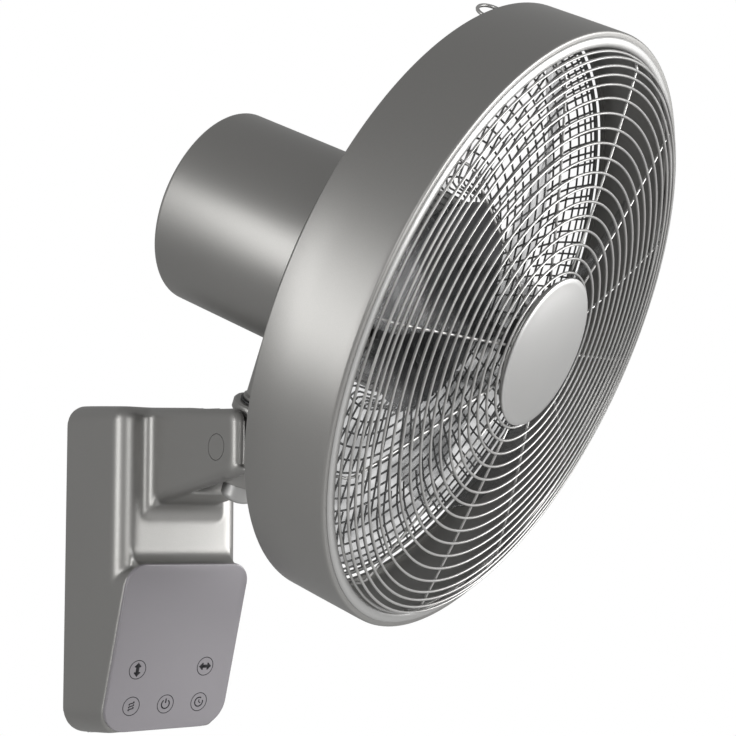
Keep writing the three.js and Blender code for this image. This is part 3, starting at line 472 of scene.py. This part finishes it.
def dress(piece, material, body, slot, *nodes):
    """Give a new piece its finish and its body, and hide the solids that it stands for. The slot is not
    used.
    """
    piece.data.materials.clear()
    piece.data.materials.append(material)
    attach(piece, body)
    if nodes:
        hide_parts(*nodes)


dress(housing, grey_paint, "base", "grey_paint", "base_housing")


# ---- Touch panel ----
# Flat plastic plate that clips on the leaning front, with a fine bright bevel all round.
# The touch symbols are printed on it: swing and tilt arrows above, air flow, power, timer below.
PANEL_FRAME = (Matrix.Translation(Vector((0, -88.7, 3.5)) * MM)
               @ Matrix.Rotation(math.radians(16.4), 4, "X"))
PANEL_LENGTH, PANEL_THICKNESS, PANEL_BEVEL = 126.6, 2.5, 0.9


def move_into(piece, matrix):
    """Carry a piece from a local frame to its place, and apply it."""
    piece.matrix_world = matrix @ piece.matrix_world
    apply_place(piece)


panel = block("touch_panel", (-HALF_WIDTH, 0, -PANEL_LENGTH), (HALF_WIDTH, PANEL_THICKNESS, 0))
round_edges(panel, lambda p, d: runs_y(d) and p.z > -60, PANEL_CORNER, 14)
round_edges(panel, lambda p, d: runs_y(d) and p.z < -60, CHIN, 14)
pick(panel, "FACE", lambda p, n: n.y < -0.9)
bpy.ops.mesh.region_to_loop()
bpy.ops.mesh.bevel(offset=PANEL_BEVEL * MM, segments=3, affect="EDGES")
bpy.ops.object.mode_set(mode="OBJECT")
move_into(panel, PANEL_FRAME)
shade(panel, 30)
panel_grey = finish_material(
    "panel_grey", (0.202, 0.192, 0.205), bump=0.04, grain_scale=3000, grain_contrast=0.06,
    patch_scale=7, patch_contrast=0.03, roughness=0.34, roughness_spread=0.05, peel_scale=500,
    shader={"Metallic": 0.25, "Coat Weight": 0.3, "Coat Roughness": 0.15})
dress(panel, panel_grey, "base", "panel_grey", "control_panel")


def drawn(name, path, size, roundness=2, closed=False):
    """Round bar through (x, y, z) points, in millimetres."""
    data = bpy.data.curves.new(name, "CURVE")
    data.dimensions = "3D"
    data.bevel_depth = size / 2 * MM
    data.bevel_resolution = roundness
    data.use_fill_caps = True
    spline = data.splines.new("POLY")
    spline.points.add(len(path) - 1)
    for point, place in zip(spline.points, path):
        point.co = (*(v * MM for v in place), 1)
    spline.use_cyclic_u = closed
    piece = bpy.data.objects.new(name, data)
    bpy.context.scene.collection.objects.link(piece)
    only(piece)
    bpy.ops.object.convert(target="MESH")
    piece = bpy.context.object
    weld(piece)
    return piece


def line(name, points, width, closed=False):
    """Printed line of flat section on the panel, through (x, z) points in millimetres."""
    piece = drawn(name, [(x, 0, z) for x, z in points], width, 1, closed)
    piece.scale = (1, INK_FLATNESS, 1)
    apply_place(piece)
    return piece


def join_all(name, parts):
    """Make one piece of several; they are used up."""
    only(parts[0])
    for part in parts[1:]:
        part.select_set(True)
    bpy.ops.object.join()
    piece = bpy.context.object
    piece.name = name
    apply_place(piece)
    return piece


def arc_points(x, z, radius, start, end, count=30):
    """Points round (x, z), angles in degrees from the right."""
    step = (end - start) / (count - 1)
    angles = [math.radians(start + step * i) for i in range(count)]
    return [(x + radius * math.cos(a), z + radius * math.sin(a)) for a in angles]


UPPER_ROW, LOWER_ROW = -79, -106.7
LEFT, MIDDLE, RIGHT = -31.5, -1.5, 28.5
RING_RADIUS = 7
INK_FLATNESS = 0.12
marks = []
for x, z in ((LEFT, UPPER_ROW), (RIGHT, UPPER_ROW), (LEFT, LOWER_ROW), (MIDDLE, LOWER_ROW),
             (RIGHT, LOWER_ROW)):
    marks.append(line("ring", arc_points(x, z, RING_RADIUS, 0, 354, 60), 0.7, closed=True))


def arrow(x, z, turn):
    """Double arrow through a point: a bar with a head at each end."""
    def at(u, v):
        c, s = math.cos(turn), math.sin(turn)
        return (x + u * c - v * s, z + u * s + v * c)

    marks.append(line("bar", [at(-2.4, 0), at(2.4, 0)], 2.8))
    for way in (-1, 1):
        for width in (0.4, 1.2, 2.0, 2.7):
            reach = 5.2 - width * 1.05
            marks.append(line("head", [at(way * reach, -width), at(way * reach, width)], 1.3))


arrow(LEFT, UPPER_ROW, math.pi / 2)
arrow(RIGHT, UPPER_ROW, 0)
for shift in (-2.1, 0, 2.1):  # three waves of air
    wave = [(LEFT + u * 0.75 + 1.1 * math.sin(u * 1.3), LOWER_ROW + shift + u * 0.45)
            for u in [i * 0.4 - 3.2 for i in range(17)]]
    marks.append(line("wave", wave, 1.0))
marks.append(line("power", arc_points(MIDDLE, LOWER_ROW, 3.4, 125, 415), 1.15))
marks.append(line("power_bar", [(MIDDLE, LOWER_ROW + 0.8), (MIDDLE, LOWER_ROW + 4.2)], 1.15))
marks.append(line("clock", arc_points(RIGHT, LOWER_ROW, 3.5, 60, 380), 1.1))
hands = [(RIGHT, LOWER_ROW + 2), (RIGHT, LOWER_ROW), (RIGHT + 1.6, LOWER_ROW - 0.9)]
marks.append(line("hands", hands, 0.9))
symbols = join_all("touch_symbols", marks)
move_into(symbols, PANEL_FRAME)
symbol_print = finish_material(
    "symbol_print", (0.018, 0.018, 0.02), bump=0.03, grain_scale=4000, grain_contrast=0.3,
    patch_contrast=0.1, roughness=0.6, roughness_spread=0.08,
    shader={"Specular IOR Level": 0.1})
dress(symbols, symbol_print, "base", "dark_plastic")


# ---- Motor can ----
# Deep-drawn steel can, closed at the rear with a small turned edge, painted as the base.
# It is spun up here as one ring of metal, drawn out along the fan's axis.
LEAN, SWING = math.radians(26.8), math.radians(19.6)  # of the post back, of the head on it
AXIS_RISE = 150  # from the pivot up to the fan's axis
PIVOT_FRAME = (Matrix.Translation(Vector((0, TILT_Y, TILT_Z)) * MM)
               @ Matrix.Rotation(LEAN, 4, "X"))
NECK_FRAME = PIVOT_FRAME @ Matrix.Rotation(SWING, 4, "Z")
HEAD_FRAME = NECK_FRAME @ Matrix.Translation((0, 0, AXIS_RISE * MM))


def turned(name, steps, sides=128, closed=True):
    """Ring drawn out through (radius, y) steps in millimetres; radius 0 closes it on the axis."""
    only(None)
    radius, y = steps[0]
    bpy.ops.mesh.primitive_circle_add(
        vertices=sides, radius=radius * MM, location=(0, y * MM, 0), rotation=(math.pi / 2, 0, 0))
    piece = bpy.context.object
    piece.name = name
    apply_place(piece)
    bpy.ops.object.mode_set(mode="EDIT")
    bpy.ops.mesh.select_mode(type="VERT")
    bpy.ops.mesh.select_all(action="SELECT")
    route = list(steps[1:]) + ([steps[0]] if closed else [])
    for next_radius, next_y in route:
        bpy.ops.mesh.extrude_region_move(
            TRANSFORM_OT_translate={"value": (0, (next_y - y) * MM, 0)})
        if next_radius == 0:
            bpy.ops.mesh.merge(type="CENTER")
            break
        ratio = next_radius / radius
        bpy.ops.transform.resize(value=(ratio, 1, ratio), center_override=(0, next_y * MM, 0))
        radius, y = next_radius, next_y
    weld(piece)
    return piece


def curve_steps(centre_radius, centre_y, size, start, end, count=6):
    """Steps round an arc; angles in degrees, 0 outwards and 90 towards +y."""
    angles = [math.radians(start + (end - start) * i / (count - 1)) for i in range(count)]
    return [(centre_radius + size * math.cos(a), centre_y + size * math.sin(a)) for a in angles]


def close_rim(piece, y, radius):
    """Fill the round end of an open turned piece at this y, inside the radius, in millimetres."""
    pick(piece, "EDGE", lambda p, d: abs(p.y - y) < 0.02 and Vector((p.x, p.z)).length < radius)
    bpy.ops.mesh.edge_face_add()
    bpy.ops.mesh.select_all(action="SELECT")
    bpy.ops.mesh.normals_make_consistent(inside=False)
    bpy.ops.object.mode_set(mode="OBJECT")


CAN_RADIUS, CAN_WALL, CAN_CORNER = 69.5, 2.5, 3.5
CAN_MOUTH, CAN_REAR = -98, 84
CAN_INSIDE, CAN_FLOOR = CAN_RADIUS - CAN_WALL, CAN_REAR - CAN_WALL
NECK_HOLE = 15.3
can = turned("motor_can", [(CAN_INSIDE, CAN_MOUTH), (CAN_RADIUS, CAN_MOUTH), (CAN_RADIUS, -20)]
             + curve_steps(CAN_RADIUS - CAN_CORNER, CAN_REAR - CAN_CORNER, CAN_CORNER, 0, 90, 7)
             + [(50, CAN_REAR), (20, CAN_REAR), (4, CAN_REAR), (0, CAN_REAR)], closed=False)
inner = turned("can_inside", [(CAN_INSIDE, CAN_MOUTH), (CAN_INSIDE, CAN_FLOOR), (4, CAN_FLOOR),
                              (0, CAN_FLOOR)], closed=False)
can = join_all("motor_can", [can, inner])
weld(can)
combine(can, rod("neck_hole", "Z", NECK_HOLE, -80, -40, sides=48), "DIFFERENCE")
move_into(can, HEAD_FRAME)
shade(can)
dress(can, grey_paint, "head", "grey_paint", "motor_housing")


# ---- Band and front bezel ----
# Rolled sheet-metal band, 58 mm wide, with its front edge rolled in and a lip at the rear.
# The bezel is a narrow bright ring, pressed in the band's front, that clamps the guard.
BAND_RADIUS, BAND_REAR, RIM = 204.5, -107, -165
band = turned("head_band", [(199, BAND_REAR - 2.5), (199, BAND_REAR)]
              + curve_steps(203.5, BAND_REAR - 1, 1, 90, 0, 4)
              + [(BAND_RADIUS, -130), (BAND_RADIUS - 0.2, RIM + 5)]
              + curve_steps(202.4, RIM + 1.8, 1.8, 0, -90, 8)
              + [(200.5, RIM + 0.1), (200.5, RIM + 2.6), (202, RIM + 4.6), (202, BAND_REAR - 2.5)],
              sides=200)
move_into(band, HEAD_FRAME)
shade(band)
dress(band, grey_paint, "head", "grey_paint", "band")

bezel = turned("bezel_ring", [
    (200.2, RIM + 5), (198.2, RIM + 5), (198.2, RIM + 0.8), (193.8, RIM + 0.8),
    (193.7, RIM - 0.2), (194.2, RIM - 0.9), (195.2, RIM - 1.3), (196.8, RIM - 1.4),
    (198.6, RIM - 1.2), (199.9, RIM - 0.7), (200.44, RIM - 0.1)], sides=200)
move_into(bezel, HEAD_FRAME)
shade(bezel)
light_paint = finish_material(
    "light_paint", (0.41, 0.408, 0.401), bump=0.06, grain_scale=2400, grain_contrast=0.12,
    patch_scale=10, patch_contrast=0.04, roughness=0.4, roughness_spread=0.05, peel_scale=450,
    peel_share=0.6, shader={"Metallic": 0.8, "Coat Weight": 0.15, "Coat Roughness": 0.2})
dress(bezel, light_paint, "head", "light_paint", "front_bezel")


# ---- Front guard ----
# Domed guard of steel wire rings, spot-welded on twelve radial wires behind them and coated
# light grey. A pressed disc covers the middle.
DOME_FRONT, DOME_BOW = -184.94, 0.000316
FIRST_RING, RING_PITCH, RINGS = 53.3, 9.335, 13
EDGE_RINGS = ((173.7, -175.4), (179.6, -174.75), (185.0, -174.0), (189.8, -172.2), (192.2, -167.6))
WIRE, RIM_WIRE = 1.8, 3
SPOKES, FIRST_SPOKE = 12, 7.5


def dome_y(radius):
    """Place of the guard's front along the fan's axis."""
    return DOME_FRONT + DOME_BOW * radius ** 2


def wire_ring(radius, y, size):
    """Ring of round wire about the fan's axis, in millimetres."""
    only(None)
    bpy.ops.mesh.primitive_torus_add(
        major_segments=160, minor_segments=8, major_radius=radius * MM, minor_radius=size / 2 * MM,
        location=(0, y * MM, 0), rotation=(math.pi / 2, 0, 0))
    return bpy.context.object


def spokes(wire, count, first):
    """Copies of a wire turned round the fan's axis, each with its own mesh."""
    ring = [wire]
    for i in range(1, count):
        twin = wire.copy()
        twin.data = wire.data.copy()
        bpy.context.scene.collection.objects.link(twin)
        ring.append(twin)
    for i, twin in enumerate(ring):
        turn = math.radians(first + i * 360 / count)
        twin.matrix_world = Matrix.Rotation(turn, 4, "Y")
        apply_place(twin)
    return ring


ring_radii = [FIRST_RING + RING_PITCH * i for i in range(RINGS)]
guard_parts = [wire_ring(radius, dome_y(radius), WIRE) for radius in ring_radii]
guard_parts += [wire_ring(radius, y, WIRE) for radius, y in EDGE_RINGS]
guard_parts.append(wire_ring(195.2, -161.6, RIM_WIRE))  # clamped behind the bezel
guard_parts.append(wire_ring(46.5, -183.8, RIM_WIRE))  # under the hub disc
spoke_path = [(0, dome_y(radius) + WIRE * 0.9, radius) for radius in (45, 75, 105, 135, 160, 178, 186)]
spoke_path += [(0, -169.6, 190.2), (0, -166, 191.4), (0, -163.2, 193.4)]
guard_parts += spokes(drawn("spoke", spoke_path, WIRE), SPOKES, FIRST_SPOKE)
guard = join_all("front_guard_wires", guard_parts)
move_into(guard, HEAD_FRAME)
only(guard)
bpy.ops.object.shade_smooth()
wire_paint = finish_material(
    "wire_paint", (0.37, 0.366, 0.358), bump=0.05, grain_scale=2600, grain_contrast=0.12,
    patch_scale=20, patch_contrast=0.06, roughness=0.34, roughness_spread=0.06, peel_scale=600,
    shader={"Metallic": 0.7, "Coat Weight": 0.1, "Coat Roughness": 0.25})
dress(guard, wire_paint, "head", "wire_paint", "front_grille")

DISC_BACK = -185.8
hub_disc = turned("hub_disc", [(48, DISC_BACK), (50.1, DISC_BACK)]
                  + curve_steps(49.7, -186.7, 1.0, 40, -70, 5)
                  + [(47, -187.75), (42, -188.35), (30, -189.3), (16, -189.9), (5, -190.1),
                     (0, -190.12)], closed=False)
close_rim(hub_disc, DISC_BACK, 48.5)
move_into(hub_disc, HEAD_FRAME)
shade(hub_disc)
dress(hub_disc, light_paint, "head", "light_paint", "hub_cap")


# ---- Rear guard ----
# Dished guard of thinner wire at the back of the band, spot-welded on a dark centre plate that the
# ring nut clamps on the motor's mount. A wire eye on its rim sticks out behind the band.
PLATE_Y, PLATE_THICKNESS = -107, 1.6
DISH_Y, DISH_BOW = -86.3, 0.00037


def dish_y(radius):
    """Place of the rear rings along the fan's axis."""
    return DISH_Y - DISH_BOW * (radius - 80) ** 2


REAR_WIRE = 1.5
FIRST_REAR, REAR_PITCH, REAR_RINGS = 82.5, 9.22, 10
REAR_SPOKES = 64
RIM_RINGS = ((173, -90.4), (180.5, -93.6), (186.2, -97.2), (190.4, -100.2), (193.6, -102.8))
rear_radii = [FIRST_REAR + REAR_PITCH * i for i in range(REAR_RINGS)]
rear_parts = [wire_ring(radius, dish_y(radius), REAR_WIRE) for radius in rear_radii]
rear_parts += [wire_ring(radius, y, REAR_WIRE) for radius, y in RIM_RINGS]
rear_parts.append(wire_ring(196, -105.3, RIM_WIRE))
rim_path = [(0, -90.7, 156), (0, -92, 170), (0, -95.2, 180), (0, -99, 186.4), (0, -102.6, 191.6),
            (0, -105, 195.6)]
rear_path = [(0, PLATE_Y + 0.8, 70), (0, PLATE_Y + 1.8, 74.6), (0, -103.4, 76.4), (0, -92.4, 77.6),
             (0, -89.2, 79.6), (0, -88.2, 83), (0, -89.1, 130)] + rim_path
rear_parts += spokes(drawn("rear_spoke", rear_path, REAR_WIRE), REAR_SPOKES, 1.75)
rear_parts += spokes(drawn("rim_spoke", rim_path, REAR_WIRE), REAR_SPOKES, 4.56)
rear = join_all("rear_guard_wires", rear_parts)
move_into(rear, HEAD_FRAME)
shade(rear, 50)
# the wire paint made darker: painted shade, for the shade that the head casts on the rear wires
wire_paint_painted_shade = finish_material(
    "wire_paint_painted_shade", (0.11, 0.11, 0.108), bump=0.05, grain_scale=2600, grain_contrast=0.12,
    patch_scale=20, patch_contrast=0.06, roughness=0.42, roughness_spread=0.06, peel_scale=600,
    shader={"Metallic": 0.6})
dress(rear, wire_paint_painted_shade, "head", "wire_paint", "rear_guard")

plate = turned("rear_plate", [(31, PLATE_Y), (71.4, PLATE_Y)]
               + curve_steps(71.6, PLATE_Y + 0.8, 0.8, -90, 90, 5)
               + [(31, PLATE_Y + PLATE_THICKNESS)], sides=96)
move_into(plate, HEAD_FRAME)
shade(plate)
dark_plastic = finish_material(
    "dark_plastic", (0.035, 0.035, 0.037), bump=0.25, grain_scale=1400, grain_contrast=0.2,
    patch_scale=18, patch_contrast=0.12, roughness=0.5, roughness_spread=0.12, peel_share=0.2)
dress(plate, dark_plastic, "head", "dark_plastic")

EYE_BEARING, EYE_WIRE = math.radians(-16), 2.4
eye_path = []
for i in range(17):
    t = math.pi * i / 16
    eye_path.append((-9 * math.cos(t), -104.8 + 9.4 * math.sin(t) ** 0.8, 200.2 + 1.6 * math.sin(t)))
eye = drawn("wire_eye", eye_path, EYE_WIRE)
move_into(eye, HEAD_FRAME @ Matrix.Rotation(EYE_BEARING, 4, "Y"))
shade(eye, 50)
dress(eye, wire_paint, "head", "wire_paint", "hang_loop")


# ---- Blade wheel ----
# Five swept blades and their hub, moulded in one piece in smoky clear plastic. The blades are thin
# and even, steep at the root and flatter at the tip.
BLADES = 5
TIP, HUB = 180, 40
BLADE_Y, BLADE_THICKNESS, BLADE_CAMBER = -137, 1.7, 4
ROOT_PITCH, TWIST, SWEEP = 40, 24, 24  # degrees


def chord_at(t):
    """Width of a blade in millimetres, from the root (t = 0) to the tip (t = 1)."""
    return 52 + 56 * math.sin(math.pi * (t * 0.62 + 0.08)) - 26 * t ** 6


only(None)
bpy.ops.mesh.primitive_grid_add(x_subdivisions=16, y_subdivisions=22, size=1, location=(0, 0, 0))
blade = bpy.context.object
blade.name = "blade"
for vertex in blade.data.vertices:  # s runs from edge to edge, t from root to tip
    s, t = vertex.co.x, vertex.co.y + 0.5
    radius = HUB - 2 + (TIP - HUB + 2) * t
    pitch = math.radians(ROOT_PITCH - TWIST * t)
    rounding = 1 - 0.22 * abs(2 * s) ** 3 * max(0, (t - 0.7) / 0.3) ** 2
    radius *= 1 - 0.05 * abs(2 * s) ** 3 * max(0, (t - 0.6) / 0.4)
    chord = chord_at(t) * rounding
    depth = BLADE_Y + s * chord * math.sin(pitch) + BLADE_CAMBER * (1 - 4 * s * s)
    angle = -math.radians(SWEEP) * t ** 1.5 + s * chord * math.cos(pitch) / radius
    vertex.co = Vector((radius * math.sin(angle), depth, radius * math.cos(angle))) * MM
skin = blade.modifiers.new("skin", "SOLIDIFY")
skin.thickness, skin.offset = BLADE_THICKNESS * MM, 0
edge = blade.modifiers.new("edge", "BEVEL")
edge.width, edge.segments, edge.limit_method = 0.6 * MM, 2, "ANGLE"
only(blade)
for step in ("skin", "edge"):
    bpy.ops.object.modifier_apply(modifier=step)
wheel_parts = spokes(blade, BLADES, 20)
hub = turned("wheel_hub", [(4.3, -160), (30, -160)] + curve_steps(34, -154, 6, -90, 0, 7)
             + [(HUB, -116), (37, -116), (37, -151), (32, -156), (12, -156), (12, -115),
                (4.3, -115)], sides=96)
wheel = join_all("fan_wheel", [hub] + wheel_parts)
move_into(wheel, HEAD_FRAME)
shade(wheel)
blade_plastic = finish_material(
    "blade_plastic", (0.05, 0.051, 0.052), bump=0.5, bump_depth=0.0012, grain_scale=900,
    grain_contrast=0.1, patch_scale=70, patch_contrast=0.6, roughness=0.16, roughness_spread=0.08,
    peel_scale=60, peel_share=0.9, shader={"IOR": 1.38})
# the plastic is clearer in some patches than in others
blade_nodes, blade_links = blade_plastic.node_tree.nodes, blade_plastic.node_tree.links
smoke = blade_nodes.new("ShaderNodeMapRange")
for socket, value in (("From Min", 0.36), ("From Max", 0.64), ("To Min", 0.14), ("To Max", 0.42)):
    smoke.inputs[socket].default_value = value
blade_links.new(blade_nodes["grain"].outputs["Patch"], smoke.inputs["Value"])
blade_links.new(smoke.outputs["Result"], blade_nodes["Principled BSDF"].inputs["Alpha"])
dress(wheel, blade_plastic, "rotor", "blade_plastic", "blade_wheel")


# ---- Neck and knuckle ----
# Turned neck that swings on the post, and the cast knuckle that tilts between the cheeks, in the
# base's paint. A round cap in the lighter paint closes the knuckle below.
KNUCKLE_FLOOR = -24.3
MOTOR_BORE = 15.3
STAND = Matrix.Rotation(math.pi / 2, 4, "X")  # the turned axis stands up

neck = turned("neck_tube", [(8.6, 35.6)] + curve_steps(15.7, 36.4, 0.8, -90, 0, 4)
              + [(16.5, 38), (15, 39.4), (15, 86), (16, 87), (21.2, 87), (22, 87.8), (22, 91),
                 (12.6, 91), (12.6, 38.5), (8.6, 38.5)], sides=64)
move_into(neck, NECK_FRAME @ STAND)
shade(neck)
dress(neck, grey_paint, "head", "grey_paint", "neck")

barrel = turned("knuckle_cast", [(6, -24), (18.6, -24)] + curve_steps(18.6, -22.6, 1.4, -90, 0, 4)
                + [(20, 25), (21.2, 26), (22.3, 27), (22.3, 32.6), (21.2, 34), (8.3, 34),
                   (8.3, 10), (6, 8)], sides=64)
move_into(barrel, STAND)
combine(barrel, rod("side_boss", "X", 17.8, -21.5, 21.5, sides=64), "UNION", "EXACT")
combine(barrel, rod("motor_bore", "X", MOTOR_BORE, -40, 13.5, sides=48), "DIFFERENCE", "EXACT")
combine(barrel, rod("pin_bore", "X", PIN_BORE, 0, 40, sides=32), "DIFFERENCE", "EXACT")
move_into(barrel, PIVOT_FRAME)
shade(barrel)
dress(barrel, grey_paint, "knuckle_unit", "grey_paint", "knuckle")

foot_cap = turned("knuckle_foot_cap", [(6, KNUCKLE_FLOOR), (12.2, KNUCKLE_FLOOR), (12.2, -34)]
                  + curve_steps(7.7, -34.6, 4.5, 0, -70, 6) + [(5, -39.2), (0, -39.4)],
                  sides=64, closed=False)
close_rim(foot_cap, KNUCKLE_FLOOR, 6.1)
move_into(foot_cap, PIVOT_FRAME @ STAND)
shade(foot_cap)
dress(foot_cap, light_paint, "knuckle_unit", "light_paint", "knuckle_cap")


# ---- Inlet bush ----
# Ring of soft black rubber in the round hole under the base. It ends level with the housing, and a
# collar inside keeps it in place.
BUSH_END, COLLAR_FOOT, COLLAR_HEAD = -119.6, -115.7, -114.2
bush = turned("inlet_bush", [(3.5, BUSH_END), (6, BUSH_END), (6, COLLAR_FOOT), (8, COLLAR_FOOT),
                             (8, COLLAR_HEAD), (3.5, COLLAR_HEAD)], sides=48)
move_into(bush, Matrix.Translation((0, BUSH_Y * MM, 0)) @ STAND)
shade(bush)
rubber = finish_material(
    "rubber", (0.018, 0.018, 0.018), bump=0.3, grain_scale=900, grain_contrast=0.2, patch_scale=30,
    patch_contrast=0.15, roughness=0.7, roughness_spread=0.1)
dress(bush, rubber, "base", "rubber", "cord_bush")


# ---- Small parts that keep their solid's shape ----
# Plates, screws, bearings, boards and winding blocks, mostly hidden inside. Each solid takes the
# finish of its own slot: plated steel, bare motor metal, green lacquer, copper or rubber.
steel = finish_material(
    "steel", (0.56, 0.56, 0.55), bump=0.08, grain_scale=1800, grain_contrast=0.12, patch_scale=40,
    patch_contrast=0.12, roughness=0.32, roughness_spread=0.14, shader={"Metallic": 1.0})
motor_part = finish_material(
    "motor_part", (0.30, 0.29, 0.28), bump=0.2, grain_scale=700, grain_contrast=0.25,
    patch_scale=30, patch_contrast=0.2, roughness=0.48, roughness_spread=0.16,
    shader={"Metallic": 0.9})
board = finish_material(
    "board", (0.03, 0.10, 0.05), bump=0.1, grain_scale=600, grain_contrast=0.3, patch_scale=60,
    patch_contrast=0.2, roughness=0.4, roughness_spread=0.1)
copper = finish_material(
    "copper", (0.42, 0.17, 0.07), bump=0.3, grain_scale=500, grain_contrast=0.3, patch_scale=30,
    patch_contrast=0.2, roughness=0.36, roughness_spread=0.1, shader={"Metallic": 0.9})

FINISHES = {"grey_paint": grey_paint, "light_paint": light_paint, "wire_paint": wire_paint,
            "panel_grey": panel_grey, "blade_plastic": blade_plastic, "dark_plastic": dark_plastic,
            "steel": steel, "motor_part": motor_part, "board": board, "copper": copper,
            "rubber": rubber}
for part in frame["record"]["subparts"]:
    solid = frame["nodes"][part["node"]]
    solid.data.materials.clear()
    solid.data.materials.append(FINISHES[part["material_slot"]])
